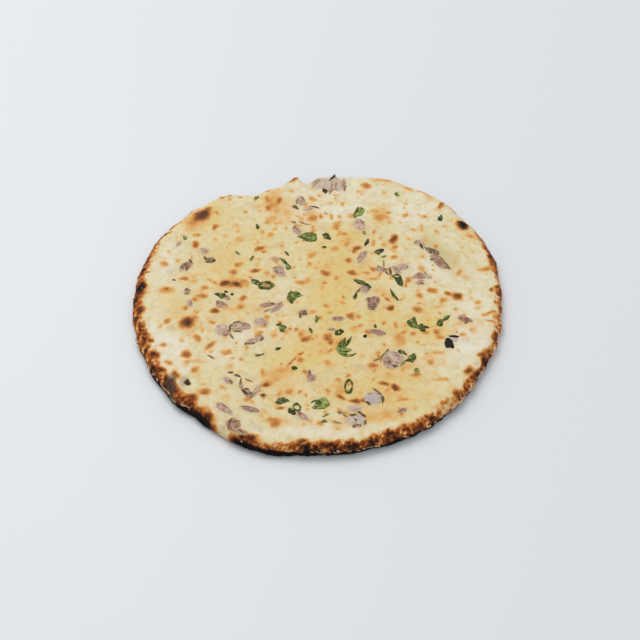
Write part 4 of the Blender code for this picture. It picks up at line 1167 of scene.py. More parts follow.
def top_toast(x, y):
    """Toast of the soft top: spots, patches, specks and a faint mottle."""
    near_x, near_y = wandered(x, y)
    toast = highest(near_x, near_y, CHAR_SPOTS, haloed)
    gold = highest(near_x, near_y, GOLD_PATCHES)
    small = highest(near_x, near_y, specks)
    mottle = layered_noise(x, y, TOP_MOTTLE)
    soft = both(gold, small, SPECK_ON_GOLD) + np.clip(mottle, 0.0, 1.0)
    return both(toast, soft, SPOT_ON_GOLD)


def rim_toast(points, slope, froth):
    """Toast of the shoulder and the wall: the tops of the bubbles catch the fire."""
    x, y, z = points.T
    inward = outline(np.arctan2(y, x)) - np.hypot(x, y)
    _, band_toast, wall_toast_and_shade, _, wall_slope = rim_at(x, y)
    cell, contrast, seed = CLUMPS
    clump = contrast * turned_noise(x + z, y - z, cell, seed)
    band = rim_band(x, y, inward) * (band_toast + clump + BAND_CONTRAST * (froth - 0.5))
    wall = 1.0 - smooth_step(wall_slope - WALL_BLEND, wall_slope + WALL_BLEND, slope)
    # At the front the wall's toast also paints the shade of the wall.
    toast = band * (1.0 - wall) + (wall_toast_and_shade + WALL_CONTRAST * (froth - 0.5)) * wall
    near_x, near_y = wandered(x, y)
    burnt = highest(near_x, near_y, RIM_CHAR)
    toast = np.maximum(toast, burnt * (BURNT_VALLEYS + BURNT_DOMES * froth))
    raw = highest(near_x, near_y, RIM_PALE) * (1.0 - RAW_LOST * (slope < RAW_FOOT))
    return toast * (1.0 - raw)


SEAM_ABOVE = 4.0  # how far above the top of the wall, in degrees of slope
SEAM_HALF_WIDTH = 8.0


def flake_seam(points, slope):
    """Where the skin between band and wall has lifted: a thin pale line, broken by noise."""
    x, y, z = points.T
    flakes, wall_slope = rim_at(x, y)[3:]
    seam = np.exp(-(((slope - wall_slope - SEAM_ABOVE) / SEAM_HALF_WIDTH) ** 2))
    broken = smooth_step(-0.25, 0.35, turned_noise(x + z, y - z, 2.2, 37) + flakes - 0.55)
    return seam * flakes * broken


# %% The other causes of colour
BUTTERY = (  # x, y, length, width, turn, how buttery
    (2.0, -14.0, 170.0, 170.0, 0.0, 0.55), (10.0, 4.0, 34.0, 120.0, 0.0, 1.05),
    (-62.0, 68.0, 34.0, 28.0, 50.0, 0.85), (-25.0, 84.0, 18.0, 26.0, 0.0, 0.85),
    (38.0, 64.0, 14.0, 16.0, 0.0, 0.8), (20.0, 48.0, 24.0, 20.0, 0.0, 1.0),
    (-80.0, -10.0, 22.0, 26.0, 0.0, 0.8), (56.0, -25.0, 34.0, 28.0, 0.0, 1.05),
    (30.0, -72.0, 66.0, 34.0, 0.0, 0.9), (-52.0, 26.0, 36.0, 50.0, 0.0, 0.8),
    (-6.0, -44.0, 56.0, 40.0, 0.0, 1.0), (33.0, -20.0, 34.0, 38.0, 0.0, 0.95),
    (-38.0, 50.0, 34.0, 22.0, 0.0, 0.75),
)
FLOURY = (  # x, y, length, width, turn, how floury
    (-80.0, -36.0, 48.0, 20.0, -68.0, 0.85), (84.0, -10.0, 70.0, 24.0, 85.0, 0.6),
    (0.0, -96.0, 60.0, 9.0, 0.0, 0.6), (60.0, 68.0, 40.0, 34.0, -50.0, 0.35),
    (15.0, 86.0, 50.0, 20.0, 0.0, 0.4), (-86.0, 34.0, 30.0, 14.0, 75.0, 0.45),
    (-52.0, -44.0, 26.0, 14.0, -20.0, 0.5), (-86.0, 26.0, 16.0, 30.0, 0.0, 0.6),
    (-34.0, -31.0, 40.0, 22.0, 10.0, 0.6), (-22.0, 8.0, 18.0, 26.0, 0.0, 0.4),
    (64.0, 20.0, 36.0, 38.0, 0.0, 0.65), (10.0, 90.0, 60.0, 22.0, 0.0, 0.7),
    (4.0, 72.0, 44.0, 18.0, 0.0, 0.95), (56.0, 70.0, 26.0, 28.0, 0.0, 0.8),
    (-20.0, -12.0, 16.0, 12.0, 0.0, 0.4), (80.0, -38.0, 20.0, 34.0, -25.0, 0.95),
    (62.0, -56.0, 24.0, 14.0, -40.0, 0.5), (4.0, -92.0, 50.0, 12.0, 0.0, 0.3),
)
# Painted shade, olive, on the far slope of the tear, where the dough falls into the slit.
TEAR_PAINTED_SHADE = (71.0, 34.0, 34.0, 9.0, -60.0, 1.0)
STAIN_MARGIN = 2.0
STAIN_STRENGTH = 0.4
THREAD_WANDER = 0.4  # threads wander less than spots do


def painted_bread(points, slope, froth):
    x, y, z = points.T
    inward = outline(np.arctan2(y, x)) - np.hypot(x, y)
    top = smooth_step(10.0, 60.0, slope)
    under = 1.0 - smooth_step(-90.0, -60.0, slope)
    toast = np.maximum(rim_toast(points, slope, froth), top_toast(x, y) * top)
    toast = toast * (1.0 - under) + underside_toast(x, y) * under
    near_x, near_y = wandered(x, y)
    thread_x = x + (near_x - x) * THREAD_WANDER
    thread_y = y + (near_y - y) * THREAD_WANDER
    beside = highest(x, y, grown(ONIONS, STAIN_MARGIN, STAIN_STRENGTH))
    return {
        "toast": toast,
        "butter": highest(near_x, near_y, BUTTERY) * top,
        "flour": highest(near_x, near_y, FLOURY) * top,
        "stain": np.maximum(highest(near_x, near_y, FAINT_ONIONS), beside) * top,
        "thread": highest(thread_x, thread_y, THREADS_AND_CREASE_SHADE) * top,
        "shade": oval(x, y, TEAR_PAINTED_SHADE) * top,
        "ash": highest(near_x, near_y, ASH),
        "flakes": flake_seam(points, slope),
        "rough": np.maximum(rim_band(x, y, inward) * top, 1.0 - smooth_step(10.0, 40.0, slope)),
    }


bread_paint = painted_bread(bread_points, bread_slope, bread_froth)
for field in ("toast", "butter", "flour"):
    print(field, "runs from", bread_paint[field].min().round(2), "to", bread_paint[field].max().round(2))

# %% [markdown]
# ## The finish of the dough
#
# Baked dough is pale cream where it is floury and a soft yellow where butter soaked in. Toast
# then runs through gold, orange and brown to black. One noise through one ramp would look like
# stone, so the soft dough and the toast are made apart and mixed by how browned a point is. The
# rim has a ramp of its own, because it is redder than the spots on top. Fine noise breaks the
# borders, because real browning follows the crumb. A little light goes into dough, so it also
# gets a small amount of scatter.

# %% Colours of baked dough
CREAM = colour(231, 221, 188)
YELLOW = colour(228, 201, 125)
FLOUR = colour(236, 230, 212)
SKIN = colour(226, 198, 164)
TAN = colour(208, 182, 124)
PALE_OLIVE = colour(222, 210, 158)
ONION_STAIN = colour(196, 170, 146)
# Olive of the painted shade beside the tear.
OLIVE_PAINTED_SHADE = colour(204, 188, 126)
# Colour of the thin dark lines: singed threads, and painted shade in creases of the dough.
SINGED_AND_CREASE_SHADE = colour(104, 86, 54)
GREY_ASH = colour(70, 62, 50)
FRECKLE = colour(214, 202, 186)
TOAST_END = 1.3
TOAST_STOPS = (
    (0.00, colour(232, 198, 132)),
    (0.18, colour(229, 178, 100)),
    (0.34, colour(212, 149, 78)),
    (0.48, colour(178, 112, 54)),
    (0.62, colour(128, 75, 38)),
    (0.76, colour(86, 52, 33)),
    (0.88, colour(50, 33, 24)),
    (1.00, colour(26, 18, 14)),
)
RIM_STOPS = (
    (0.00, colour(228, 186, 128)),
    (0.18, colour(222, 160, 90)),
    (0.34, colour(202, 122, 50)),
    (0.48, colour(168, 84, 26)),
    (0.62, colour(114, 50, 13)),
    (0.76, colour(64, 27, 9)),
    (0.88, colour(30, 14, 8)),
    (1.00, colour(12, 7, 5)),
)

# %% Noises of the dough, and where the coats on it begin, where they are full and how strong
CLOUD = (6.5, 3.0, 0.6)  # size of one cloud in millimetres, detail, roughness
PATCH = (4.6, 3.0, 0.6)
DAPPLE = (2.8, 2.0, 0.5)
CRUMB = (1.3, 3.0, 0.6)
GRIT = (0.45, 2.0, 0.6)
PORE = (0.18, 2.0, 0.5)
TOAST_SWINGS = (0.24, 0.6, 0.8)  # how much clouds, crumb and grit vary the toast
SWING_GROWTH = (0.25, 0.9)  # on raw dough, and how much more with the toast
BUTTER_SWING = 0.9
FLOUR_SWINGS = (1.45, 0.44, 1.3)
THREAD_SWING = 0.3
ASH_SWING = 0.7
FLAKE_SWING = 0.5
BROWNED_COAT = (0.02, 0.42)
OLIVE_COAT = ((0.48, 0.66), 0.5)
TAN_COAT = ((0.44, 0.66), 0.4)
FRECKLE_COAT = ((0.5, 0.75), 0.5, "MULTIPLY")
CREASE_SHADE_AND_THREAD_COAT = ((0.35, 0.85), 0.8)
ASH_COAT = (0.35, 0.85)
ASH_FADE = (1.15, 0.8)
FLAKE_COAT = ((0.30, 0.60), 0.85)
STAIN_SHARE = 0.6
PAINTED_SHADE_SHARE = 0.7


def crust_finish():
    """The bread's finish, from what is painted on its points."""
    crust = Finish("baked_dough", {
        "Subsurface Weight": 0.12,
        "Subsurface Radius": (1.0, 0.55, 0.25),
        "Subsurface Scale": 0.0022,
        "Specular IOR Level": 0.14,
        "Coat Roughness": 0.35,
    })
    where = crust.place()
    cloud, patch, dapple, crumb, grit, pore = (
        crust.noise(where, *kind) for kind in (CLOUD, PATCH, DAPPLE, CRUMB, GRIT, PORE))
    toast = crust.painted("toast")
    rough = crust.painted("rough")
    cloud_swing, crumb_swing, grit_swing = TOAST_SWINGS
    uneven = cloud.swing(cloud_swing) + crumb.swing(crumb_swing)
    least, growth = SWING_GROWTH
    browned = toast + uneven * (least + toast * growth) + grit.swing(rough) * grit_swing
    share = browned * (1 / TOAST_END)
    ramp = crust.mix(rough, crust.ramp(share, TOAST_STOPS), crust.ramp(share, RIM_STOPS))
    butter = crust.painted("butter") + cloud.swing(BUTTER_SWING)
    soft = crust.mix(butter.clamped(), CREAM, YELLOW)
    soft = crust.coat(soft, PALE_OLIVE, patch, *OLIVE_COAT)
    soft = crust.coat(soft, TAN, dapple, *TAN_COAT)
    strong, middle, width = FLOUR_SWINGS
    flour = crust.painted("flour") * (strong - dapple) + (middle - patch) * width
    soft = crust.mix(flour.clamped(), soft, FLOUR)
    soft = crust.coat(soft, FRECKLE, grit, *FRECKLE_COAT)
    soft = crust.mix(crust.painted("stain") * STAIN_SHARE, soft, ONION_STAIN)
    # Painted shade beside the tear.
    soft = crust.mix(crust.painted("shade") * PAINTED_SHADE_SHARE, soft, OLIVE_PAINTED_SHADE)
    baked = crust.mix(browned.between(*BROWNED_COAT), soft, ramp)
    # Thin dark lines: singed threads and painted crease shade.
    thread = crust.painted("thread") + crumb.swing(THREAD_SWING)
    baked = crust.coat(baked, SINGED_AND_CREASE_SHADE, thread, *CREASE_SHADE_AND_THREAD_COAT)
    ash = crust.painted("ash") + crumb.swing(ASH_SWING)
    strong, fade = ASH_FADE
    baked = crust.coat(baked, GREY_ASH, ash, ASH_COAT, strong - dapple * fade)
    fleck = crust.painted("flakes") + grit.swing(FLAKE_SWING)
    baked = crust.coat(baked, SKIN, fleck, *FLAKE_COAT)
    height = crumb * 0.5 + grit * (0.25 + rough * 0.9) + pore * 0.2
    return crust.wear(
        Base_Color=baked,
        Roughness=(0.62 + browned.clamped() * 0.16 - crust.painted("butter") * 0.08).clamped(),
        Coat_Weight=crust.painted("butter") * 0.10,
        Normal=crust.bump(height, 0.22, 0.8),
    )


baked_dough = crust_finish()
print("baked dough has", len(baked_dough.node_tree.nodes), "nodes")

# %% [markdown]
# ## The bread itself
#
# The mesh is made and then frothed: each point of the toasted side moves out along its own
# normal by the height of its bubble. A bump in the finish could fake that, but then the bread's
# outline against the table would stay smooth, and it is the outline that shows crust. The piece
# then stands for the solid.

# %% Froth the rim and replace the solid
FROTH_HEIGHT = 0.85
FLAKE_STAND = 0.35


def surface_normals(piece):
    """The normals of all points of a piece, one to a row."""
    normals = np.empty(len(piece.data.vertices) * 3, dtype=np.float32)
    piece.data.vertices.foreach_get("normal", normals)
    return normals.reshape(-1, 3)


def frothed(points, normals, slope, paint, froth):
    """Move the toasted points out along their normals by the height of their bubbles."""
    side = paint["rough"] * smooth_step(-85.0, -50.0, slope)
    out = (FROTH_HEIGHT * (froth - 0.5) + FLAKE_STAND * paint["flakes"]) * side
    moved = points + normals * out[:, None]
    moved[:, 2] = np.maximum(moved[:, 2], 0.0)
    return moved


bread = add_piece("kulcha_bread", bread_points, bread_faces, baked_dough, bread_paint)
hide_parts("kulcha")
bread_surface = frothed(bread_points, surface_normals(bread), bread_slope, bread_paint, bread_froth)
bread.data.vertices.foreach_set("co", (bread_surface * MM).ravel())
bread.data.update()
print("bread, in mm:", [round(side * 1000, 1) for side in bread.dimensions])

# %% [markdown]
# ## A lobe pressed into dough
#
# Onion, singed edges and leaves could each have a builder, but they differ only in thickness and
# border, so they share one: rings of points from a sunken border to the middle, drawn in the
# lobe's own length and width, bent along an arc if the row says so, and set on what lies below.
# The border lies under the dough's surface, so no gap shows, and a flat face below closes each
# lobe. Where lobes of one kind overlap, the later one lies on the earlier.

# %% Places on the bread
ROUND_ENDS = (0.0, 0.15, 0.15)  # no bend, and both ends a little pointed
ROW_LENGTH = 9


def full_row(row):
    """A row with the bend and the two ends that it may leave out."""
    return tuple(row) + ROUND_ENDS[len(row) - ROW_LENGTH:] if len(row) < ROW_LENGTH else tuple(row)


def bent(along, across, row):
    """A point drawn in millimetres along and across a piece, after its bend and its turn."""
    bend = np.radians(row[6])
    if abs(bend) > 0.01:
        radius = row[2] / bend
        angle = along / radius
        sag = radius * (1.0 - np.cos(bend / 4.0))
        along = (radius - across) * np.sin(angle)
        across = radius - (radius - across) * np.cos(angle) - sag
    cos = np.cos(np.radians(row[4]))
    sin = np.sin(np.radians(row[4]))
    return row[0] + along * cos - across * sin, row[1] + along * sin + across * cos


def heap(x, y, rows, profile, lift):
    """How high pieces of one kind stand at each place, above what they lie on."""
    shares, lifts = zip(*profile)
    height = np.zeros_like(x)
    for row in rows:
        along, across = along_and_across(x, y, row)
        share = np.hypot(along, across)
        height = np.maximum(height, lift * np.interp(share, shares[::-1], lifts[::-1], right=0.0))
    return height


# %% The rings of a lobe: (share of its reach, share of its lift), from the border inwards
ONION_RINGS = ((1.0, 0.0), (0.95, 0.30), (0.88, 0.60), (0.76, 0.85), (0.6, 1.0), (0.4, 1.0), (0.2, 1.0))
EDGE_RINGS = ((1.0, 0.0), (0.8, 0.8), (0.5, 1.0), (0.2, 1.0))
HERB_RINGS = ((1.0, 0.0), (0.94, 0.30), (0.84, 0.62), (0.70, 0.86), (0.45, 1.0), (0.2, 1.0))
ONION_LIFT = 0.55
TEAR_REACH = 0.6  # how much of the tear's depth the onion in it follows
ROOT = 1.2  # how far a lobe's flat face lies below its border
GRAIN_STEP = 11.0  # from one lobe's grain to the next one's


def onion_bed(x, y):
    """What the onion lies on: the dough without its collars, and partly down in the tear."""
    return top_height(x, y) + fine_swells(x, y) - TEAR_REACH * tear_depth(x, y)


def dressed_top(x, y):
    """The highest of dough and onion, on which leaves and singed edges lie."""
    onion_top = onion_bed(x, y) + heap(x, y, ONIONS, ONION_RINGS, ONION_LIFT)
    return np.maximum(top_height(x, y) + fine_relief(x, y), onion_top)


def lobe(row, rings, sides, uneven, draws, bed, face_height, sink):
    """Points, faces, share of the reach and own millimetres of a lobe."""
    angle = ring_angles(sides)
    reach = np.ones(sides)
    for waves in (2, 3, 5):
        reach = reach + uneven / waves * np.cos(waves * angle + draws.uniform(0.0, 2.0 * np.pi))
    tip = np.where(np.cos(angle) > 0.0, row[8], row[7])
    shares = np.array([1.0] + [ring[0] for ring in rings] + [0.0])
    lifts = np.array([0.0] + [ring[1] for ring in rings] + [1.0])
    across = np.sign(np.sin(angle)) * np.abs(np.sin(angle)) ** (1.0 + tip)
    u = np.outer(shares, np.cos(angle) * reach)
    v = np.outer(shares, across * reach)
    x, y = bent(u * row[2] / 2, v * row[3] / 2, row)
    z = bed(x, y) + lifts[:, None] * face_height(u, v) - sink * (lifts[:, None] <= 0.0)
    z[0] = z[0].min() - ROOT
    loops = np.stack([x, y, z], axis=-1)
    points = np.concatenate([loops[:-1].reshape(-1, 3), loops[-1].mean(axis=0)[None]])
    faces = [tuple(reversed(range(sides)))]
    for loop in range(len(shares) - 2):
        faces += [tuple(face) for face in joined(loop * sides, sides, (loop + 1) * sides, sides)]
    last = (len(shares) - 2) * sides
    faces += [(last + side, last + (side + 1) % sides, last + sides) for side in range(sides)]
    border = np.append(np.repeat(shares[:-1], sides), 0.0)
    own_x = np.append(u[:-1].ravel(), 0.0) * row[2] / 2
    own_y = np.append(v[:-1].ravel(), 0.0) * row[3] / 2
    return points, faces, border, own_x, own_y


def lobe_paint(number, tone, border, own_x, own_y):
    """What every lobe carries: its border, its tone, and where a point is along its own grain."""
    return {
        "border": border,
        "tone": np.full(len(border), float(tone)),
        "grain": np.column_stack([own_x, own_y, np.full(len(border), GRAIN_STEP * number)]),
    }


def joined_pieces(shapes):
    """One mesh from many: points, faces and painted numbers laid end to end."""
    points, faces, painted, start = [], [], {}, 0
    for shape_points, shape_faces, shape_paint in shapes:
        points.append(shape_points)
        faces += [tuple(corner + start for corner in face) for face in shape_faces]
        for field, values in shape_paint.items():
            painted.setdefault(field, []).append(values)
        start += len(shape_points)
    painted = {field: np.concatenate(values) for field, values in painted.items()}
    return np.concatenate(points), faces, painted


print("dough at the big onion:", round(float(dressed_top(np.array([38.0]), np.array([-49.0]))[0]), 2), "mm")

# %% [markdown]
# ## The onion pieces
#
# A chopped layer is a rounded oblong, so it lies dished or domed. A flat cut-out could stand in
# for it, but it would look like paper. So its edge slopes softly into the dough, which has crept
# over it as a thin film, and each piece draws its own unevenness from a seeded generator, one
# after the other, so the result is the same every time.

# %% Onion shapes
ONION_SIDES = 30
ONION_UNEVEN = 0.2
ONION_SINK = 0.3
ONION_SEED = 17
STACKED_LIFT = 0.3  # share of the lift where a lobe lies on another


def onion_shape(number, row, draws):
    row = full_row(row)
    dish = draws.uniform(-0.2, 0.3)
    tilt = draws.uniform(-0.15, 0.15)
    earlier = ONIONS[:number]
    middle = np.array([[row[0]], [row[1]]])
    stacked = heap(*middle, earlier, ONION_RINGS, 1.0)[0] > 0.5
    lift = ONION_LIFT * (STACKED_LIFT if stacked else 1.0)

    def bed(x, y):
        return onion_bed(x, y) + heap(x, y, earlier, ONION_RINGS, ONION_LIFT)

    def face_height(u, v):
        ripple = 0.08 * turned_noise(u * row[2], v * row[3] + 9.0 * number, 3.0, 83)
        return lift + (dish * (v**2 - 0.35) + tilt * u) * lift / ONION_LIFT + ripple

    points, faces, *own = lobe(row, ONION_RINGS, ONION_SIDES, ONION_UNEVEN, draws, bed,
                               face_height, ONION_SINK)
    return points, faces, lobe_paint(number, row[5], *own)


# %% The curl at the back edge
CURL = (9.5, 104.0, 12.5, 3.0, 58.0, -0.1, 38.0)
CURL_SPAN = (3.0, 8.3)  # from how low to how high it stands
CURL_WALL = 1.3
CURL_STEPS = 22
CURL_ROUND = 12
CURL_NUMBER = 82  # its grain is counted on from the chopped pieces
CURL_GRAIN = (6.0, 2.0)  # stretch of its grain along it and up it
CURL_SINGE = 1.6  # how much darker its top edge is
CURL_SINGED = (0.25, 0.85)  # heights where that begins and where it is full
CURL_SINGE_TILT = 0.12


def curl_shape():
    """A thin layer standing on edge: an upright oval section carried along an arc."""
    angle = ring_angles(CURL_ROUND)
    low, high = CURL_SPAN
    loops = []
    shares = np.linspace(-1.0, 1.0, CURL_STEPS)
    for share in shares:
        rise = np.sqrt(1.0 - 0.96 * share**2)
        middle = low + (high - low) * 0.5 * rise
        across = 0.5 * CURL_WALL * (0.5 + 0.5 * rise) * np.cos(angle) + 0.25 * share**2
        height = middle + (middle - low + 0.4) * np.sin(angle)
        x, y = bent(np.full(CURL_ROUND, share * CURL[2] / 2), across, CURL)
        loops.append(np.column_stack([x, y, height]))
    points = np.concatenate(loops)
    faces = [tuple(reversed(range(CURL_ROUND))), tuple(range(len(points) - CURL_ROUND, len(points)))]
    for loop in range(CURL_STEPS - 1):
        quads = joined(loop * CURL_ROUND, CURL_ROUND, (loop + 1) * CURL_ROUND, CURL_ROUND)
        faces += [tuple(quad) for quad in quads]
    height = np.tile(np.sin(angle), CURL_STEPS)
    along = np.repeat(shares, CURL_ROUND)
    border = np.full(len(points), 0.4)
    paint = lobe_paint(CURL_NUMBER, CURL[5], border, along * CURL_GRAIN[0], height * CURL_GRAIN[1])
    singed = smooth_step(*CURL_SINGED, height + CURL_SINGE_TILT * along)
    paint["tone"] = CURL[5] + CURL_SINGE * singed
    return points, faces, paint


# %% Onion finish
ONION_LOW, ONION_HIGH = -1.0, 1.6
ONION_DEEPER = 0.24  # all onion baked a little more mauve than its row says
ONION_STOPS = (
    (0.00, colour(180, 166, 168)),
    (0.38, colour(208, 186, 162)),
    (0.58, colour(192, 157, 138)),
    (0.77, colour(166, 118, 102)),
    (0.92, colour(118, 80, 62)),
    (1.00, colour(64, 43, 32)),
)
ONION_FIBRE = 0.16  # below 1, so its veins are drawn out along it
ONION_VEIN = 0.8  # size in millimetres
ONION_PATCH = 2.4
ONION_SWINGS = (2.3, 1.7)  # how much patches and veins vary the tone
FILM_SWING = 1.2
FILM_COAT = (0.66, 1.05)
FILM_SHARE = 0.9
BROWNED_SWING = -2.4  # against the film's, so that a border is filmed or browned
BROWNED_LAYER_COAT = ((0.95, 1.3), 0.75)
FILM = colour(216, 196, 154)
BROWNED_LAYER = colour(120, 88, 72)


def onion_finish():
    """Glassy baked onion with fine veins along its length and a film of dough at its border."""
    onion = Finish("baked_onion", {
        "Subsurface Weight": 0.25,
        "Subsurface Radius": (1.0, 0.7, 0.6),
        "Subsurface Scale": 0.0015,
        "Specular IOR Level": 0.3,
    })
    veins = onion.noise(onion.grain(ONION_FIBRE), ONION_VEIN)
    patches = onion.noise(onion.grain(), ONION_PATCH)
    patch_swing, vein_swing = ONION_SWINGS
    tone = onion.painted("tone") + ONION_DEEPER + patches.swing(patch_swing) + veins.swing(vein_swing)
    share = (tone - ONION_LOW) * (1 / (ONION_HIGH - ONION_LOW))
    flesh = onion.ramp(share, ONION_STOPS)
    border = onion.painted("border")
    film = (border + patches.swing(FILM_SWING)).between(*FILM_COAT) * FILM_SHARE
    browned = border + patches.swing(BROWNED_SWING)
    flesh = onion.coat(flesh, BROWNED_LAYER, browned, *BROWNED_LAYER_COAT)
    return onion.wear(
        Base_Color=onion.mix(film, flesh, FILM),
        Roughness=(0.34 + film * 0.25).clamped(),
        Normal=onion.bump(veins * 0.6 + patches * 0.4, 0.18, 0.7),
    )


baked_onion = onion_finish()
onion_draws = np.random.default_rng(ONION_SEED)
onion_shapes = [onion_shape(number, row, onion_draws) for number, row in enumerate(ONIONS)]
onion_points, onion_faces, onion_paint = joined_pieces(onion_shapes)
onion = add_piece("onion_pieces", onion_points, onion_faces, baked_onion, onion_paint)
curl_points, curl_faces, curl_paint = curl_shape()
curl = add_piece("onion_curl", curl_points, curl_faces, baked_onion, curl_paint)
print(len(onion.data.polygons), "faces of onion")

# %% [markdown]
# ## Singed edges, and painted shade of gaps
#
# The thinnest parts of the onion, its skins and its cut ends, dried and burnt in the oven. They
# show as dark strokes round the pieces and as loose threads. Some strokes are painted shade as
# well: the dark gap between a piece and the dough, the slit of the tear, and the small hole by the
# burnt blister. Painting them on the pieces would blur them, because a piece has few points at its
# border, so each stroke is a thin lobe of its own that lies on the onion or the dough.

# %% Stroke shapes and finish
EDGE_SIDES = 18
EDGE_UNEVEN = 0.3
EDGE_GROWTH = 0.7  # soft border added to each stroke
EDGE_STRETCH = 0.9  # the same at its ends, where strokes run into one another
EDGE_SINK = 0.15
EDGE_LIFT = 0.12
EDGE_SEED = 23
EDGE_STOPS = (
    (0.00, colour(164, 142, 92)),
    (0.30, colour(138, 108, 68)),
    (0.55, colour(104, 76, 48)),
    (1.00, colour(46, 32, 22)),
)
SOFT_EDGE = colour(212, 192, 146)
EDGE_ROUGHENING = (0.08, 1.8, 84)  # height, cell, seed
EDGE_BLOTCH = (2.0, 2.0, 0.6)  # size, detail, roughness
EDGE_SWINGS = (0.8, 1.0)  # of its tone and of its border
EDGE_COAT = (0.55, 1.0)


def edge_shape(number, row, draws):
    row = full_row(row)
    row = (row[0], row[1], row[2] + EDGE_STRETCH, row[3] + EDGE_GROWTH, *row[4:])

    def face_height(u, v):
        height, cell, seed = EDGE_ROUGHENING
        return EDGE_LIFT + height * turned_noise(u * row[2], v * row[3] + 5.0 * number, cell, seed)

    points, faces, *own = lobe(row, EDGE_RINGS, EDGE_SIDES, EDGE_UNEVEN, draws, dressed_top,
                               face_height, EDGE_SINK)
    return points, faces, lobe_paint(number, row[5], *own)


def edge_finish():
    """Dry brown to black, a little softer in tone at the border."""
    edge = Finish("singed_onion_and_gap_shade", {"Specular IOR Level": 0.15})
    blotch = edge.noise(edge.grain(), *EDGE_BLOTCH)
    tone_swing, border_swing = EDGE_SWINGS
    burnt = edge.ramp(edge.painted("tone") + blotch.swing(tone_swing), EDGE_STOPS)
    border = edge.painted("border") + blotch.swing(border_swing)
    return edge.wear(
        Base_Color=edge.coat(burnt, SOFT_EDGE, border, EDGE_COAT),
        Roughness=(0.45 + blotch * 0.3).clamped(),
        Normal=edge.bump(blotch, 0.15, 0.7),
    )


edge_draws = np.random.default_rng(EDGE_SEED)
edge_shapes = [edge_shape(number, row, edge_draws) for number, row in enumerate(SINGED_EDGES_AND_GAP_SHADE)]
edge_points, edge_faces, edge_paint = joined_pieces(edge_shapes)
edges = add_piece("singed_edges_and_gap_shade", edge_points, edge_faces, edge_finish(), edge_paint)
print(len(edges.data.polygons), "faces of singed edge")

# %% [markdown]
# ## Coriander and chilli
#
# Leaves went in fresh and baked dark: they lie flat and thin, a little crinkled, with a dark
# border. A leaf's outline could be drawn point by point, but two or three overlapping lobes give
# the same lobed shape and can be turned one by one. A strip is one lobe. A chilli ring is another
# form, a round band swept along an oval and half sunk in the dough.

# %% Herb shapes
HERB_SIDES = 32
HERB_UNEVEN = 0.3
HERB_LIFT = 0.36
HERB_SINK = 0.2
HERB_SEED = 29


def herb_shape(number, row, draws):
    row = full_row(row)
    earlier = HERBS[:number]

    def bed(x, y):
        return dressed_top(x, y) + heap(x, y, earlier, HERB_RINGS, HERB_LIFT * 0.5)

    def face_height(u, v):
        crinkle = 0.16 * turned_noise(u * row[2], v * row[3] + 7.0 * number, 3.4, 87)
        return HERB_LIFT + crinkle + 0.1 * (np.abs(v) - 0.3)

    points, faces, *own = lobe(row, HERB_RINGS, HERB_SIDES, HERB_UNEVEN, draws, bed,
                               face_height, HERB_SINK)
    return points, faces, lobe_paint(number, row[5], *own)


RING_SIDES = 40
RING_ROUND = 10
RING_LIFT = 0.12
RING_UNEVEN = (0.35, 0.25)  # how much its wall varies twice and five times round
RING_FLATNESS = 0.75
FIRST_RING = 50  # the rings' grains are counted from here


def chilli_shape(number, row):
    """A cut ring of chilli: a round band swept along an oval, half sunk in the dough."""
    place, wall, bright = (*row[:5], 0.0, 0.0), row[5], row[6]
    turn = ring_angles(RING_ROUND)
    loops = []
    for angle in ring_angles(RING_SIDES):
        twice = RING_UNEVEN[0] * np.sin(2.0 * angle + number)
        five_times = RING_UNEVEN[1] * np.sin(5.0 * angle)
        thick = wall / 2 * (1.0 + twice + five_times)
        out_u = place[2] / 2 - wall / 2 + thick * np.cos(turn)
        out_v = place[3] / 2 - wall / 2 + thick * np.cos(turn)
        x, y = bent(out_u * np.cos(angle), out_v * np.sin(angle), place)
        z = dressed_top(x, y) + RING_LIFT + RING_FLATNESS * thick * np.sin(turn)
        loops.append(np.column_stack([x, y, z]))
    points = np.concatenate(loops)
    faces = []
    for loop in range(RING_SIDES):
        ahead = (loop + 1) % RING_SIDES
        quads = joined(loop * RING_ROUND, RING_ROUND, ahead * RING_ROUND, RING_ROUND)
        faces += [tuple(reversed(quad)) for quad in quads]
    along = np.repeat(ring_angles(RING_SIDES), RING_ROUND) * place[2] / 2
    round_it = np.tile(turn, RING_SIDES)
    border = 0.5 + 0.5 * np.abs(np.cos(round_it))
    return points, faces, lobe_paint(FIRST_RING + number, bright, border, along, round_it)


# %% Herb finish
DEEP_GREEN = colour(54, 58, 20)
LEAF_GREEN = colour(104, 114, 48)
# Lighter green of the leaf, which also paints its highlights.
LIGHT_GREEN_AND_HIGHLIGHT = colour(164, 176, 100)
LEAF_FILM = colour(188, 180, 116)
SINGED_LEAF = colour(34, 28, 20)
LEAF_FIBRE = 0.35
LEAF_BLOTCH = (2.2, 3.0, 0.6)  # size, detail, roughness
LEAF_VEIN = 0.9
LEAF_SWINGS = (3.0, 2.4)  # how much blotches and veins vary the green
GREEN_COAT = (0.0, 0.6)
LIGHT_GREEN_AND_HIGHLIGHT_COAT = (0.55, 1.15)
BORDER_SWING = 1.4
DARK_BORDER_COAT = ((0.7, 1.1), 0.55)
LEAF_FILM_COAT = ((0.98, 1.2), 0.7)
BURNT_BELOW = 0.05
BURNT_COAT = (0.0, 0.12)


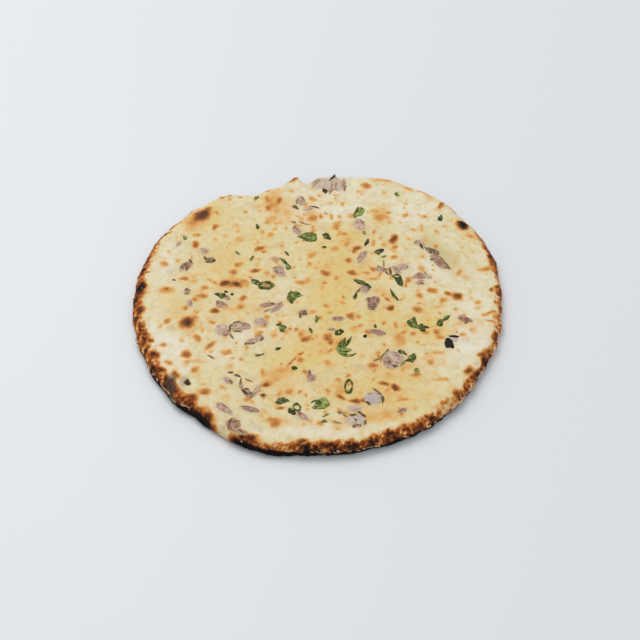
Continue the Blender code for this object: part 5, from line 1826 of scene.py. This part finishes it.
def herb_finish():
    """Baked leaf: veined, dark at its border, and filmed with dough where it is pressed in."""
    herb = Finish("baked_herb", {
        "Subsurface Weight": 0.08,
        "Subsurface Scale": 0.0008,
        "Specular IOR Level": 0.14,
    })
    blotch = herb.noise(herb.grain(), *LEAF_BLOTCH)
    veins = herb.noise(herb.grain(LEAF_FIBRE), LEAF_VEIN)
    blotch_swing, vein_swing = LEAF_SWINGS
    bright = herb.painted("tone") + blotch.swing(blotch_swing) + veins.swing(vein_swing)
    leaf = herb.coat(DEEP_GREEN, LEAF_GREEN, bright, GREEN_COAT)
    # Lighter green, and painted highlights.
    leaf = herb.coat(leaf, LIGHT_GREEN_AND_HIGHLIGHT, bright, LIGHT_GREEN_AND_HIGHLIGHT_COAT)
    border = herb.painted("border") + blotch.swing(BORDER_SWING)
    leaf = herb.coat(leaf, DEEP_GREEN, border, *DARK_BORDER_COAT)
    leaf = herb.coat(leaf, LEAF_FILM, border, *LEAF_FILM_COAT)
    leaf = herb.coat(leaf, SINGED_LEAF, BURNT_BELOW - herb.painted("tone"), BURNT_COAT)
    return herb.wear(
        Base_Color=leaf,
        Roughness=(0.42 + veins * 0.2).clamped(),
        Normal=herb.bump(blotch * 0.6 + veins * 0.4, 0.2, 0.8),
    )


baked_herb = herb_finish()
herb_draws = np.random.default_rng(HERB_SEED)
leaf_shapes = [herb_shape(number, row, herb_draws) for number, row in enumerate(HERBS)]
leaf_points, leaf_faces, leaf_paint = joined_pieces(leaf_shapes)
leaves = add_piece("coriander_leaves", leaf_points, leaf_faces, baked_herb, leaf_paint)
ring_shapes = [chilli_shape(number, row) for number, row in enumerate(CHILLI_RINGS)]
ring_points, ring_faces, ring_paint = joined_pieces(ring_shapes)
chilli = add_piece("chilli_rings", ring_points, ring_faces, baked_herb, ring_paint)
print(len(leaves.data.polygons), "faces of leaf,", len(chilli.data.polygons), "of chilli")

# %% [markdown]
# ## Crumbs of the rim
#
# Where the skin blistered and broke, small crumbs and flakes stand off the shoulder: cream where
# the inside of the skin shows, brown where its outside does. Copies of one crumb would look
# stamped. So each is a small curled scrap of its own on one point of the bread, laid along the
# surface there, and thick enough to be a closed piece.

# %% Scatter the crumbs
FLAKES = 330
FLAKE_SEED = 53
FLAKE_SIDES = 8
FLAKE_SIZES = (0.3, 0.7)
FLAKE_STRETCH = (1.5, 0.5)  # along the rim, and up and down it
FLAKE_THICKNESS = 0.12
FLAKE_LEAN = (0.3, 0.2, 0.93)  # nearly upright, so that a crumb's length runs along the rim
FLAKE_FLOOR = 0.05
FLAKE_STRAYS = 0.012  # chance of a crumb away from the seam
STRAY_SLOPE = 5.0  # a stray lies only where the skin faces up by more degrees than this
LOWEST_SLOPE = -10.0  # and no crumb lies where the skin faces down by more than ten
FLAKE_REACH = (0.65, 1.2)  # shares of its size, so that its outline is ragged
FLAKE_CURL = 0.1
FLAKE_TILT = (-0.15, 0.2)
FLAKE_SKIN = (colour(216, 184, 146), colour(182, 122, 74), colour(112, 62, 36))
FLAKE_RISES = ((0.1, 0.6), (0.7, 1.0))  # from cream to tan, and from tan to brown


def flake_shape(centre, normal, draws):
    """A thin curled scrap lying on the surface at one point."""
    size = draws.uniform(*FLAKE_SIZES)
    first = np.cross(normal, FLAKE_LEAN)
    first /= np.linalg.norm(first)
    second = np.cross(normal, first)
    angle = ring_angles(FLAKE_SIDES) + draws.uniform(0.0, 1.0)
    reach = size * draws.uniform(*FLAKE_REACH, FLAKE_SIDES)
    along = FLAKE_STRETCH[0] * reach * np.cos(angle)
    across = FLAKE_STRETCH[1] * reach * np.sin(angle)
    curl = FLAKE_CURL * (along / size) ** 2 + draws.uniform(*FLAKE_TILT) * across / size
    rim = centre + np.outer(along, first) + np.outer(across, second)
    upper = rim + np.outer(0.05 + curl * size * 0.6, normal)
    lower = upper - normal * FLAKE_THICKNESS
    points = np.concatenate([lower, upper])
    points[:, 2] = np.maximum(points[:, 2], FLAKE_FLOOR)
    sides = FLAKE_SIDES
    faces = [tuple(reversed(range(sides))), tuple(range(sides, 2 * sides))]
    faces += [tuple(face) for face in joined(0, sides, sides, sides)]
    return points, faces, {"tone": np.full(2 * sides, draws.random())}


def scattered_flakes():
    """Crumbs where the table says that the skin has lifted, most of them on the seam."""
    draws = np.random.default_rng(FLAKE_SEED)
    normals = surface_normals(bread)
    chance = bread_paint["flakes"] + FLAKE_STRAYS * bread_paint["rough"] * (bread_slope > STRAY_SLOPE)
    chance = chance * (bread_slope > LOWEST_SLOPE)
    chosen = draws.choice(len(chance), FLAKES, replace=False, p=chance / chance.sum())
    return [flake_shape(bread_surface[n], normals[n], draws) for n in chosen]


def flake_finish():
    flake = Finish("crust_flake", {"Roughness": 0.75, "Specular IOR Level": 0.2})
    where = flake.place()
    tone = flake.painted("tone") + flake.noise(where, 1.2).swing(0.5)
    cream, tan, brown = FLAKE_SKIN
    skin = flake.coat(cream, tan, tone, FLAKE_RISES[0])
    skin = flake.coat(skin, brown, tone, FLAKE_RISES[1])
    return flake.wear(Base_Color=skin, Normal=flake.bump(flake.noise(where, 0.3), 0.1))


flake_points, flake_faces, flake_paint = joined_pieces(scattered_flakes())
flakes = add_piece("rim_flakes", flake_points, flake_faces, flake_finish(), flake_paint)
print(FLAKES, "crumbs,", len(flakes.data.polygons), "faces")

# %% [markdown]
# ## Sizes, and the end
#
# The finished bread has to fill the same room as the solid that it stands for, so both boxes
# are printed.

# %% Print the sizes and finish
visual_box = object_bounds()
boxes = {"cad": [list(corner) for corner in cad_box], "visual": [list(corner) for corner in visual_box]}
for name, (low, high) in boxes.items():
    print(name, "box, in mm:", [round((b - a) * 1000, 2) for a, b in zip(low, high)])
